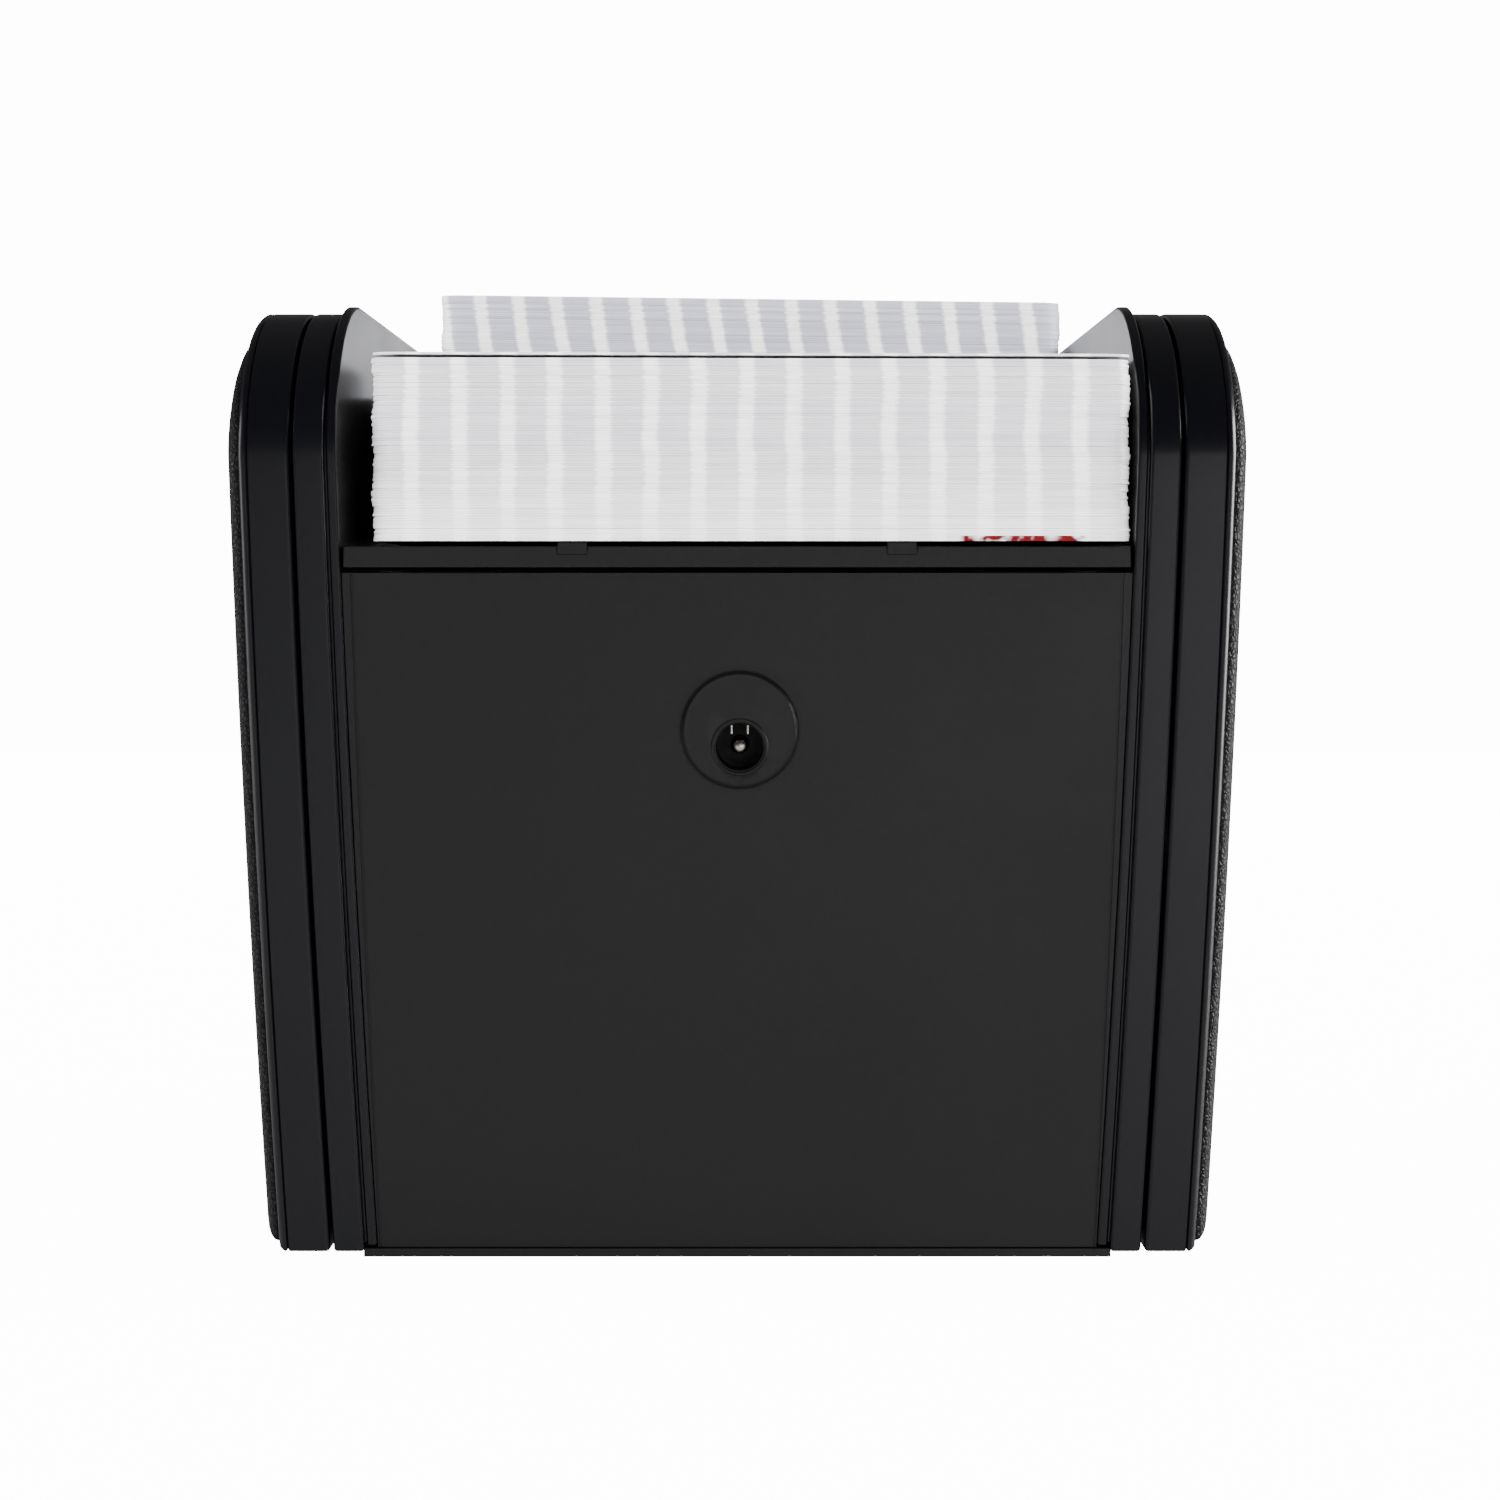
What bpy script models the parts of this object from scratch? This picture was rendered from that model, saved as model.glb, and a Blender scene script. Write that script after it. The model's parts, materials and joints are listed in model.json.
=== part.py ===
"""Two-hopper electric card shuffler: padded arched sides, card drawer between them.

Sizes are in millimetres in the text below and become metres in the meshes.
+X is the drawer side, -Y is the end with the power inlet, +Z is up.
The origin is on the ground under the middle of the machine.
"""
import bmesh
import bpy
from math import atan2, cos, hypot, pi, sin, sqrt
from mathutils import Matrix

MM = 0.001

# Playing cards: poker width, and how the two packs lie in the hoppers.
CARD_LONG = 88.9
CARD_SHORT = 63.5
CARD_CORNER = 3.2
STACK_BOTTOM = 84.8
STACK_TOP = {"near": 106.9, "far": 121.6}
CORNER_POINTS = 4
STACK_SHIFT = 1.6
STACK_FACE = 99.9

# Outline of the arched sides, seen from the side.
END_Y = 100.0
SIDE_BOTTOM = 1.5
SHOULDER_Z = 94.8
CORNER_RUN = 41.0
CORNER_RISE = 18.6
CROWN_RISE = 0.9
CORNER_STEPS = 9

# Widths of the side pieces at the shoulder, measured from the middle.
HOPPER_HALF = 46.9
INNER_WALL = 2.0
RIM_STEP = 0.9
WALL_LIFT = 1.8
INNER_RIM = 52.0
COVER_IN = 52.4
COVER_OUT = 57.6
COVER_WALL = 2.0
RIM = 2.5
PAD_IN = 57.9
PAD_OUT = 60.5
PAD_INSET = 2.9
PAD_BOTTOM = 2.4
LEAN_LINEAR = 0.0349
LEAN_SQUARE = 0.000162
LEAN_LEVELS = (20.0, 45.0, 70.0)

# Base, feet and end panels.
FOOT_RADIUS = 5.0
FOOT_TOP = 1.5
BASE_BOTTOM = 0.8
BASE_FLANGE = 1.8
BASE_TOP = 4.8
BASE_HALF = 43.85
BASE_REACH = 99.6
SLAB_HALF = 41.4
SLAB_REACH = 95.6
FOOT_PLACES = [(side * 35.4, y) for y in (-80.0, 80.0) for side in (-1, 1)]
PANEL_HALF = 46.6
PANEL_Y = 99.0
PANEL_THICK = 2.8
PANEL_TOP = 81.1
GAP = 0.3

# Screws that hold the base to bosses on the end panels.
SCREW_PLACES = [(side * 37.0, y) for y in (-91.0, 91.0) for side in (-1, 1)]
SCREW_HEAD = {"radius": 2.9, "low": 1.1, "high": 2.6, "slot_half": 0.4, "slot_reach": 2.0,
              "slot_top": 1.7}
SCREW_SHANK = {"radius": 1.4, "top": 12.0}
SCREW_BOSS = {"half": 3.6, "reach": 87.4, "top": 15.0, "bore": 1.7}

# Hopper trays and gates.
TRAY_BOTTOM = 81.7
TRAY_TOP = 84.2
TRAY_END = 99.4
CHUTE_Y = 35.0
GATE_TOP = 104.0
GATE_Y = (34.2, 36.0)
GATE_SLOT = 1.5
GATE_SCOOP = {"radius": 16.0, "above": 6.0}
ROLLER_SLOT = {"x": 7.2, "y": 8.0}
EXIT_NOTCH = {"x": 31.5, "y": 7.4}
TRAY_TAB = {"x": 19.3, "half": 1.75, "out": 0.3, "in": 1.0, "low": 83.2, "high": 84.7}

# Rollers and the gears that drive them; the gears share one module.
ROLLER_TOP = 84.5
FEED_Y = 62.0
FEED_RADIUS = 10.0
EXIT_Y = 42.0
EXIT_RADIUS = 8.5
SHAFT_RADIUS = 2.0
SHAFT_HOLE = 2.4
GEAR_MODULE = 0.8
TEETH = {"feed_gear": 24, "transfer_gear": 30, "exit_gear": 12, "motor_pinion": 10}
GEAR_IN = 49.3
GEAR_OUT = 52.1
MOTOR_RADIUS = 12.0
MOTOR_LENGTH = 29.0
MOTOR_FACE = -43.6
MOTOR_FLAT = 2.5
FEED_ROLLER_X = 22.0
FEED_ROLLER_HALF = 6.0
EXIT_ROLLER_HALF = 30.0
SHAFT_END = 47.4
MOTOR_BEARING = 2.2

# Drawer that takes the shuffled cards.
DRAWER_BOTTOM = 6.7
DRAWER_TOP = 44.0
DRAWER_HALF = 35.1
DRAWER_WALL = 1.5
DRAWER_BACK = 46.6
DRAWER_END = 47.5
FRONT_START = 47.8
FRONT_END = 57.0
SCOOP_RADIUS = 15.0
SCOOP_Z = 46.0
WINDOW_HALF = 35.8
WINDOW_LOW = 6.0
WINDOW_HIGH = 46.2
CHUTE_WALL_TOP = 64.0
CHUTE = {"half": 41.6, "inner": 36.1, "outer": 37.6, "bottom": 5.1, "floor": 6.3}

# Start button on the drawer side.
BUTTON_Z = 76.0
BUTTON_RADIUS = 7.0
BUTTON_FLANGE = 8.4
BUTTON_FACE = 58.9
BUTTON_COLLAR = (53.0, 53.9)
SPRING = {"low": 48.7, "high": 52.6, "radius": 4.2, "wire": 0.35, "turns": 3.0, "points": 12}
SWITCH_BOX = ((48.9, 51.2), (-21.0, -10.5), (72.5, 79.5))
SWITCH_LEVER = ((50.2, 50.9), (-11.0, -5.5), (74.8, 77.2))

# Power inlet in the near end.
INLET_X = 0.3
INLET_Z = 62.7
INLET_HOLE_DROP = 2.0
BEZEL_RADIUS = 6.9
INLET_BORE = 2.9
BEZEL_THICK = 1.2
SOCKET = {"radius": 4.0, "shoulder": -90.0, "block": 5.5, "front": -95.8, "back": -84.0,
          "bore_end": -87.0, "pin_hole": 1.1}
PIN = {"radius": 0.85, "tip": -96.5, "tail": -82.0}

# Control board and its larger components: (x, y, radius, top) and (x pair, y pair, top).
BOARD_BOX = ((-34.0, 34.0), (-84.0, -50.0), (8.0, 9.6))
BOARD_ROUNDS = ((-22.0, -62.0, 4.0, 17.0), (-12.0, -62.0, 3.0, 15.0))
BOARD_BLOCKS = (((2.0, 16.0), (-72.0, -62.0), 11.4), ((22.0, 31.0), (-80.0, -72.0), 15.0))
BOARD_HOLES = {"x": 30.0, "y": -54.0, "radius": 1.6}

# Four round cells lie across the base under the far hopper.
CELL_RADIUS = 7.0
CELL_PITCH = 14.3
CELL_FIRST_Y = 45.6
CELL_Z = 11.0
CELL_HALF = 24.7
WELL_HALF = 25.6
DOOR_GROOVE = 28.5
DOOR_Y = (38.8, 99.2)
DOOR_Z = (1.0, 3.5)
DOOR_TONGUE_Z = 2.2
WELL_START = 38.4
WELL_WALL = {"in": 26.9, "out": 28.4, "y": (38.6, 95.4), "top": 17.0}
CELL_NUB = {"radius": 2.7, "out": 0.5}
CONTACT = {"x": (26.1, 26.6), "y": (39.0, 95.2), "top": 16.4, "split": (66.3, 67.9), "split_z": 9.0}
DOOR_RIBS = {"count": 5, "first": 88.0, "pitch": 2.0, "half": 0.5, "x": 8.0, "depth": 1.4}
THROUGH = 120.0

for old in list(bpy.data.objects):
    bpy.data.objects.remove(old, do_unlink=True)

model = bpy.data.collections.new("card_shuffler")
cutters = bpy.data.collections.new("cutters")
bpy.context.scene.collection.children.link(model)
bpy.context.scene.collection.children.link(cutters)


# ---------------------------------------------------------------- helpers

def makeMaterial(name, colour, roughness, metallic=0.0):
    """A Principled material with a flat linear colour."""
    material = bpy.data.materials.new(name)
    material.use_nodes = True
    shader = material.node_tree.nodes["Principled BSDF"]
    shader.inputs["Base Color"].default_value = (*colour, 1.0)
    shader.inputs["Roughness"].default_value = roughness
    shader.inputs["Metallic"].default_value = metallic
    material.diffuse_color = (*colour, 1.0)
    return material


PAINTS = {
    "housing": makeMaterial("housing", (0.012, 0.012, 0.013), 0.45),
    "trim": makeMaterial("trim", (0.006, 0.006, 0.008), 0.25),
    "pad": makeMaterial("pad", (0.01, 0.01, 0.011), 0.6),
    "rubber": makeMaterial("rubber", (0.03, 0.03, 0.03), 0.8),
    "steel": makeMaterial("steel", (0.55, 0.55, 0.56), 0.3, 1.0),
    "gear": makeMaterial("gear", (0.75, 0.74, 0.7), 0.5),
    "card": makeMaterial("card", (0.8, 0.8, 0.82), 0.6),
    "board": makeMaterial("board", (0.02, 0.12, 0.05), 0.5),
    "cell": makeMaterial("cell", (0.05, 0.09, 0.2), 0.35),
    "brass": makeMaterial("brass", (0.7, 0.5, 0.2), 0.3, 1.0),
}


def addObject(name, mesh, paint=None):
    """Links a mesh as a named piece, or as a cutter if it has no paint."""
    piece = bpy.data.objects.new(name, mesh)
    if paint:
        mesh.materials.append(PAINTS[paint])
        model.objects.link(piece)
    else:
        piece.hide_render = True
        piece.display_type = "WIRE"
        cutters.objects.link(piece)
    return piece


def finish(bm, name, paint, origin=(0, 0, 0)):
    """Writes a bmesh in millimetres to a piece whose origin is at the given point."""
    bmesh.ops.translate(bm, vec=[-v for v in origin], verts=bm.verts)
    bmesh.ops.scale(bm, vec=(MM, MM, MM), verts=bm.verts)
    bmesh.ops.recalc_face_normals(bm, faces=bm.faces)
    mesh = bpy.data.meshes.new(name)
    bm.to_mesh(mesh)
    bm.free()
    piece = addObject(name, mesh, paint)
    piece.location = [v * MM for v in origin]
    return piece


def boxShape(x, y, z):
    """A box from three (low, high) pairs."""
    bm = bmesh.new()
    bmesh.ops.create_cube(bm, size=1.0)
    bmesh.ops.scale(bm, vec=[hi - lo for lo, hi in (x, y, z)], verts=bm.verts)
    bmesh.ops.translate(bm, vec=[(hi + lo) / 2 for lo, hi in (x, y, z)], verts=bm.verts)
    return bm


AXIS_TURN = {
    "x": Matrix.Rotation(pi / 2, 3, "Y"),
    "y": Matrix.Rotation(-pi / 2, 3, "X"),
    "z": Matrix.Identity(3),
}


def rodShape(axis, across, low, high, radius, segments=24):
    """A cylinder along an axis; across gives its centre in the other two, in x, y, z order."""
    bm = bmesh.new()
    bmesh.ops.create_cone(bm, cap_ends=True, segments=segments,
                          radius1=radius, radius2=radius, depth=high - low)
    bmesh.ops.rotate(bm, matrix=AXIS_TURN[axis], verts=bm.verts)
    centre = list(across)
    centre.insert("xyz".index(axis), (low + high) / 2)
    bmesh.ops.translate(bm, vec=centre, verts=bm.verts)
    return bm


def plateShape(axis, outlines, low, high):
    """Flat outlines (the later ones are holes) given in the order y, z or z, x or x, y."""
    curve = bpy.data.curves.new("outline", "CURVE")
    curve.dimensions = "2D"
    curve.fill_mode = "BOTH"
    curve.extrude = (high - low) / 2
    for outline in outlines:
        spline = curve.splines.new("POLY")
        spline.points.add(len(outline) - 1)
        for point, (u, v) in zip(spline.points, outline):
            point.co = (u, v, 0.0, 1.0)
        spline.use_cyclic_u = True
    holder = bpy.data.objects.new("outline", curve)
    bpy.context.scene.collection.objects.link(holder)
    bpy.context.view_layer.update()
    mesh = bpy.data.meshes.new_from_object(holder.evaluated_get(bpy.context.evaluated_depsgraph_get()))
    bm = bmesh.new()
    bm.from_mesh(mesh)
    bpy.data.objects.remove(holder, do_unlink=True)
    bpy.data.curves.remove(curve)
    bpy.data.meshes.remove(mesh)
    bmesh.ops.remove_doubles(bm, verts=bm.verts, dist=0.001)
    bmesh.ops.translate(bm, vec=(0, 0, (low + high) / 2), verts=bm.verts)
    shift = {"x": 1, "y": 2, "z": 0}[axis]
    for vert in bm.verts:
        values = list(vert.co)
        vert.co = values[-shift:] + values[:-shift] if shift else values
    return bm


def circle(cx, cy, radius, segments=24):
    return [(cx + radius * cos(2 * pi * i / segments), cy + radius * sin(2 * pi * i / segments))
            for i in range(segments)]


def boolean(piece, bm, operation="DIFFERENCE"):
    """Cuts, or with UNION joins, a shape into a piece."""
    name = f"{piece.name}_{operation.lower()}_{len(piece.modifiers) + 1}"
    tool = finish(bm, name, None)
    modifier = piece.modifiers.new(name, "BOOLEAN")
    modifier.operation = operation
    modifier.object = tool


def roundEdges(piece, width, segments=2, angle=0.6):
    bevel = piece.modifiers.new("rounded", "BEVEL")
    bevel.width = width * MM
    bevel.segments = segments
    bevel.limit_method = "ANGLE"
    bevel.angle_limit = angle


# ---------------------------------------------------------------- leaning sides

def lean(z):
    """How far the sides have drawn in towards the middle at a height."""
    drop = max(0.0, SHOULDER_Z + 0.2 - z)
    return LEAN_LINEAR * drop + LEAN_SQUARE * drop * drop


def leanIn(bm):
    """Draws a shape's sides in towards the base; its upright faces are first divided."""
    for level in LEAN_LEVELS:
        geometry = bm.verts[:] + bm.edges[:] + bm.faces[:]
        bmesh.ops.bisect_plane(bm, geom=geometry, plane_co=(0, 0, level), plane_no=(0, 0, 1))
    for vert in bm.verts:
        vert.co.x -= lean(vert.co.z) * (1 if vert.co.x > 0 else -1)
    return bm


def sideOutline(inset, bottom, lift=0.0):
    """The arch as (y, z) points: upright ends, elliptical shoulders and a crowned or flat top."""
    run = CORNER_RUN - inset
    rise = CORNER_RISE - inset + lift
    flat = END_Y - CORNER_RUN
    corner = [(-flat - run * cos(a), SHOULDER_Z + rise * sin(a))
              for a in (pi / 2 * i / CORNER_STEPS for i in range(CORNER_STEPS + 1))]
    crown = [(0.0, SHOULDER_Z + rise + (0.0 if lift else CROWN_RISE))]
    half = [(-flat - run, bottom)] + corner
    return half + crown + [(-y, z) for y, z in reversed(half)]


def sidePlate(inset, bottom, inner, outer, side, lift=0.0):
    """A leaning slab with the arch's outline on one side of the machine."""
    low, high = sorted((side * inner, side * outer))
    return leanIn(plateShape("x", [sideOutline(inset, bottom, lift)], low, high))


SIDES = {"left": -1, "right": 1}
ENDS = {"near": -1, "far": 1}


# ---------------------------------------------------------------- gear train layout

def trainLayout(end):
    """Axis positions (y, z) of one end's rollers, gears and motor."""
    feed = (end * FEED_Y, ROLLER_TOP - FEED_RADIUS)
    out = (end * EXIT_Y, ROLLER_TOP - EXIT_RADIUS)
    toFeed = GEAR_MODULE * (TEETH["transfer_gear"] + TEETH["feed_gear"]) / 2
    toExit = GEAR_MODULE * (TEETH["transfer_gear"] + TEETH["exit_gear"]) / 2
    toMotor = GEAR_MODULE * (TEETH["transfer_gear"] + TEETH["motor_pinion"]) / 2
    span = hypot(out[0] - feed[0], out[1] - feed[1])
    along = (toFeed ** 2 - toExit ** 2 + span ** 2) / (2 * span)
    below = sqrt(toFeed ** 2 - along ** 2)
    ey, ez = (out[0] - feed[0]) / span, (out[1] - feed[1]) / span
    transfer = (feed[0] + along * ey - end * below * ez, feed[1] + along * ez - below * abs(ey))
    motor = (transfer[0] + end * toMotor * sin(pi / 4), transfer[1] - toMotor * cos(pi / 4))
    return {"feed_gear": feed, "exit_gear": out, "transfer_gear": transfer, "motor_pinion": motor}


def gearOutline(centre, teeth, phase):
    """Trapezoidal teeth about a centre; phase is the angle of one tooth's middle."""
    pitchRadius = GEAR_MODULE * teeth / 2
    root = pitchRadius - 1.15 * GEAR_MODULE
    tip = pitchRadius + 0.85 * GEAR_MODULE
    step = 2 * pi / teeth
    points = []
    for i in range(teeth):
        middle = phase + i * step
        for radius, offset in ((root, -0.27), (tip, -0.1), (tip, 0.1), (root, 0.27)):
            angle = middle + offset * step
            points.append((centre[0] + radius * cos(angle), centre[1] + radius * sin(angle)))
    return points


def meshPhase(layout, gear):
    """The tooth angle that puts a gear's gap where the transfer gear has its tooth."""
    ty, tz = layout["transfer_gear"]
    gy, gz = layout[gear]
    line = atan2(gz - tz, gy - ty)
    return line + pi + line * TEETH["transfer_gear"] / TEETH[gear] + pi / TEETH[gear]


# ---------------------------------------------------------------- base

def makeBase():
    """The floor: a thin flange that the shell stands on, a thick middle and the cell well."""
    flange = boxShape((-BASE_HALF, BASE_HALF), (-BASE_REACH, BASE_REACH), (BASE_BOTTOM, BASE_FLANGE))
    base = finish(flange, "base_plate", "housing")
    slab = boxShape((-SLAB_HALF, SLAB_HALF), (-SLAB_REACH, SLAB_REACH), (BASE_BOTTOM + 0.1, BASE_TOP))
    boolean(base, slab, "UNION")
    for side in SIDES.values():
        x = sorted((side * WELL_WALL["in"], side * WELL_WALL["out"]))
        boolean(base, boxShape(x, WELL_WALL["y"], (BASE_BOTTOM + GAP, WELL_WALL["top"])), "UNION")
    boolean(base, boxShape((-WELL_HALF, WELL_HALF), (WELL_START, THROUGH), (-1.0, BASE_TOP + 1.0)))
    boolean(base, boxShape((-DOOR_GROOVE, DOOR_GROOVE), (WELL_START, THROUGH),
                           (DOOR_TONGUE_Z - GAP, DOOR_Z[1] + 0.4)))
    for x, y in FOOT_PLACES:
        boolean(base, rodShape("z", (x, y), -1.0, FOOT_TOP + GAP, FOOT_RADIUS + GAP))
    for x, y in SCREW_PLACES:
        boolean(base, rodShape("z", (x, y), -1.0, SCREW_HEAD["high"] + 0.4, SCREW_HEAD["radius"] + 0.4))
        boolean(base, rodShape("z", (x, y), 0.0, BASE_TOP + 1.0, SCREW_SHANK["radius"] + 0.4, 16))


def makeFeet():
    for number, (x, y) in enumerate(FOOT_PLACES, 1):
        finish(rodShape("z", (x, y), 0.0, FOOT_TOP, FOOT_RADIUS), f"foot_{number}", "rubber")


def makeScrews():
    """Pan heads sunk in the base; the shanks run up into bosses on the end panels."""
    head, shank = SCREW_HEAD, SCREW_SHANK
    half, reach = head["slot_half"], head["slot_reach"]
    for number, (x, y) in enumerate(SCREW_PLACES, 1):
        screw = finish(rodShape("z", (x, y), head["low"], head["high"], head["radius"]),
                       f"base_screw_{number}", "steel")
        rod = rodShape("z", (x, y), head["high"] - 0.1, shank["top"], shank["radius"], 16)
        boolean(screw, rod, "UNION")
        slot = (0.5, head["slot_top"])
        boolean(screw, boxShape((x - reach, x + reach), (y - half, y + half), slot))
        boolean(screw, boxShape((x - half, x + half), (y - reach, y + reach), slot))


def makeEndPanel(end, name):
    """A flat end wall with two screw bosses; the far one clears the cell door."""
    y = sorted((end * PANEL_Y, end * (PANEL_Y - PANEL_THICK)))
    bm = leanIn(boxShape((-PANEL_HALF, PANEL_HALF), y, (BASE_FLANGE + GAP, PANEL_TOP)))
    panel = finish(bm, name, "housing")
    for x, screwY in SCREW_PLACES:
        if screwY * end > 0:
            reach = sorted((end * (PANEL_Y - 1.0), end * SCREW_BOSS["reach"]))
            boss = boxShape((x - SCREW_BOSS["half"], x + SCREW_BOSS["half"]), reach,
                            (BASE_TOP + GAP, SCREW_BOSS["top"]))
            boolean(panel, boss, "UNION")
            boolean(panel, rodShape("z", (x, screwY), BASE_TOP - 0.8, SCREW_SHANK["top"] + 1.0,
                                    SCREW_BOSS["bore"], 16))
    return panel


# ---------------------------------------------------------------- shell and pads

def makeInnerShell(side, name):
    """Hopper side wall with a stepped rim; the gears hang in its outer hollow."""
    wallOut = HOPPER_HALF + INNER_WALL
    wall = sidePlate(RIM_STEP, BASE_FLANGE + GAP, HOPPER_HALF, wallOut + 0.5, side, WALL_LIFT)
    shell = finish(wall, name, "trim")
    boolean(shell, sidePlate(0.0, SIDE_BOTTOM, wallOut, INNER_RIM, side), "UNION")
    boolean(shell, sidePlate(RIM, SIDE_BOTTOM + RIM, wallOut, INNER_RIM + 3.0, side))
    reach = sorted((side * DRAWER_HALF, side * PAD_IN))
    boolean(shell, boxShape(reach, (-WINDOW_HALF, WINDOW_HALF), (WINDOW_LOW, WINDOW_HIGH)))
    for end in ENDS.values():
        layout = trainLayout(end)
        for shaft in ("feed_gear", "exit_gear"):
            boolean(shell, rodShape("x", layout[shaft], *reach, SHAFT_HOLE))
        if side < 0:
            boolean(shell, rodShape("x", layout["motor_pinion"], *reach, MOTOR_BEARING))
            stub = rodShape("x", layout["transfer_gear"], -GEAR_OUT - 0.1, GAP - HOPPER_HALF, SHAFT_RADIUS)
            boolean(shell, stub, "UNION")


def makeSideCover(side, name):
    """Outer cover: an arched rim closed by a wall, open towards the inner shell."""
    cover = finish(sidePlate(0.0, SIDE_BOTTOM, COVER_IN, COVER_OUT, side), name, "trim")
    hollow = sidePlate(RIM, SIDE_BOTTOM + RIM, COVER_IN - 3, COVER_OUT - COVER_WALL, side)
    boolean(cover, hollow)
    if side > 0:
        cutSideOpenings(cover)


def cutSideOpenings(piece, spare=0.0):
    """Drawer window and button hole, a little larger in the pad than in the cover."""
    boolean(piece, boxShape((DRAWER_BACK, THROUGH), (-WINDOW_HALF - spare, WINDOW_HALF + spare),
                            (WINDOW_LOW - spare, WINDOW_HIGH + spare)))
    boolean(piece, rodShape("x", (0.0, BUTTON_Z), DRAWER_BACK, THROUGH, BUTTON_RADIUS + 0.4 + spare))


def makePad(side, name):
    """Padded panel on the cover's outer face, with rounded edges."""
    pad = finish(sidePlate(PAD_INSET, PAD_BOTTOM, PAD_IN, PAD_OUT, side), name, "pad")
    if side > 0:
        cutSideOpenings(pad, 1.0)
    roundEdges(pad, 0.9)


# ---------------------------------------------------------------- hoppers

def makeTray(end, name):
    """Hopper floor with two roller slots and a wide notch over the exit roller."""
    half = HOPPER_HALF - lean(TRAY_BOTTOM) - GAP
    inner, outer = sorted((end * CHUTE_Y, end * TRAY_END))
    tray = finish(boxShape((-half, half), (inner, outer), (TRAY_BOTTOM, TRAY_TOP)), name, "housing")
    through = (TRAY_BOTTOM - 1.0, TRAY_TOP + 1.0)
    for x in (-FEED_ROLLER_X, FEED_ROLLER_X):
        slot = sorted((end * (FEED_Y - ROLLER_SLOT["y"]), end * (FEED_Y + ROLLER_SLOT["y"])))
        boolean(tray, boxShape((x - ROLLER_SLOT["x"], x + ROLLER_SLOT["x"]), slot, through))
    notch = sorted((end * (CHUTE_Y - 3.0), end * (EXIT_Y + EXIT_NOTCH["y"])))
    boolean(tray, boxShape((-EXIT_NOTCH["x"], EXIT_NOTCH["x"]), notch, through))
    tab = TRAY_TAB
    for x in (-tab["x"], tab["x"]):
        y = sorted((end * (TRAY_END + tab["out"]), end * (TRAY_END - tab["in"])))
        boolean(tray, boxShape((x - tab["half"], x + tab["half"]), y, (tab["low"], tab["high"])), "UNION")


def makeGate(end, name):
    """Upright gate that lets one card at a time pass under its lower edge."""
    half = HOPPER_HALF - lean(ROLLER_TOP) - GAP
    y = sorted(end * v for v in GATE_Y)
    gate = finish(boxShape((-half, half), y, (ROLLER_TOP + GATE_SLOT, GATE_TOP)), name, "housing")
    boolean(gate, rodShape("y", (0.0, GATE_TOP + GATE_SCOOP["above"]), -THROUGH, THROUGH,
                           GATE_SCOOP["radius"]))


def makeStack(end, name, top):
    """One block with the outer shape of a pack of cards."""
    r = CARD_CORNER
    x, y = CARD_LONG / 2 - r, CARD_SHORT / 2 - r
    middle = end * (STACK_FACE - CARD_SHORT / 2)
    outline = []
    for index, (cx, cy) in enumerate(((x, y), (-x, y), (-x, -y), (x, -y))):
        for step in range(CORNER_POINTS + 1):
            angle = pi / 2 * (index + step / CORNER_POINTS)
            outline.append((STACK_SHIFT + cx + r * cos(angle), middle + cy + r * sin(angle)))
    finish(plateShape("z", [outline], STACK_BOTTOM, top), name, "card")


# ---------------------------------------------------------------- drive

def roller(name, axis, radius, low, high):
    origin = (0.0, *axis)
    piece = finish(rodShape("x", axis, low, high, radius), name, "rubber", origin)
    boolean(piece, rodShape("x", axis, low - 1, high + 1, SHAFT_RADIUS + 0.1, 16))


def makeTrain(end, suffix):
    """Motor, pinion, transfer gear and the two shafts with their rollers and gears."""
    layout = trainLayout(end)
    feed, out, motor = layout["feed_gear"], layout["exit_gear"], layout["motor_pinion"]
    for kind, axis in (("feed", feed), ("exit", out)):
        bm = rodShape("x", axis, -GEAR_OUT - 0.2, SHAFT_END, SHAFT_RADIUS, 16)
        finish(bm, f"{kind}_shaft_{suffix}", "steel", (0.0, *axis))
    for side, x in (("left", -FEED_ROLLER_X), ("right", FEED_ROLLER_X)):
        roller(f"feed_roller_{side}_{suffix}", feed, FEED_RADIUS,
               x - FEED_ROLLER_HALF, x + FEED_ROLLER_HALF)
    roller(f"exit_roller_{suffix}", out, EXIT_RADIUS, -EXIT_ROLLER_HALF, EXIT_ROLLER_HALF)
    for gear in ("feed_gear", "exit_gear", "transfer_gear"):
        phase = 0.0 if gear == "transfer_gear" else meshPhase(layout, gear)
        teeth = gearOutline(layout[gear], TEETH[gear], phase)
        slack = 0.3 if gear == "transfer_gear" else 0.1
        bore = circle(*layout[gear], SHAFT_RADIUS + slack, 16)
        bm = plateShape("x", [teeth, bore], -GEAR_OUT, -GEAR_IN)
        finish(bm, f"{gear}_{suffix}", "gear", (0.0, *layout[gear]))
    teeth = gearOutline(motor, TEETH["motor_pinion"], meshPhase(layout, "motor_pinion"))
    pinion = finish(plateShape("x", [teeth], -GEAR_OUT, -GEAR_IN), f"motor_pinion_{suffix}",
                    "brass", (0.0, *motor))
    boolean(pinion, rodShape("x", motor, -GEAR_IN - 0.5, MOTOR_FACE - 0.6, 1.0, 12), "UNION")
    can = finish(rodShape("x", motor, MOTOR_FACE, MOTOR_FACE + MOTOR_LENGTH, MOTOR_RADIUS),
                 f"motor_{suffix}", "steel")
    along = (MOTOR_FACE - 1.0, MOTOR_FACE + MOTOR_LENGTH + 1.0)
    across = (motor[0] - 2 * MOTOR_RADIUS, motor[0] + 2 * MOTOR_RADIUS)
    for way in (-1, 1):
        flat = sorted(motor[1] + way * v for v in (MOTOR_RADIUS - MOTOR_FLAT, 2 * MOTOR_RADIUS))
        boolean(can, boxShape(along, across, flat))


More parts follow.
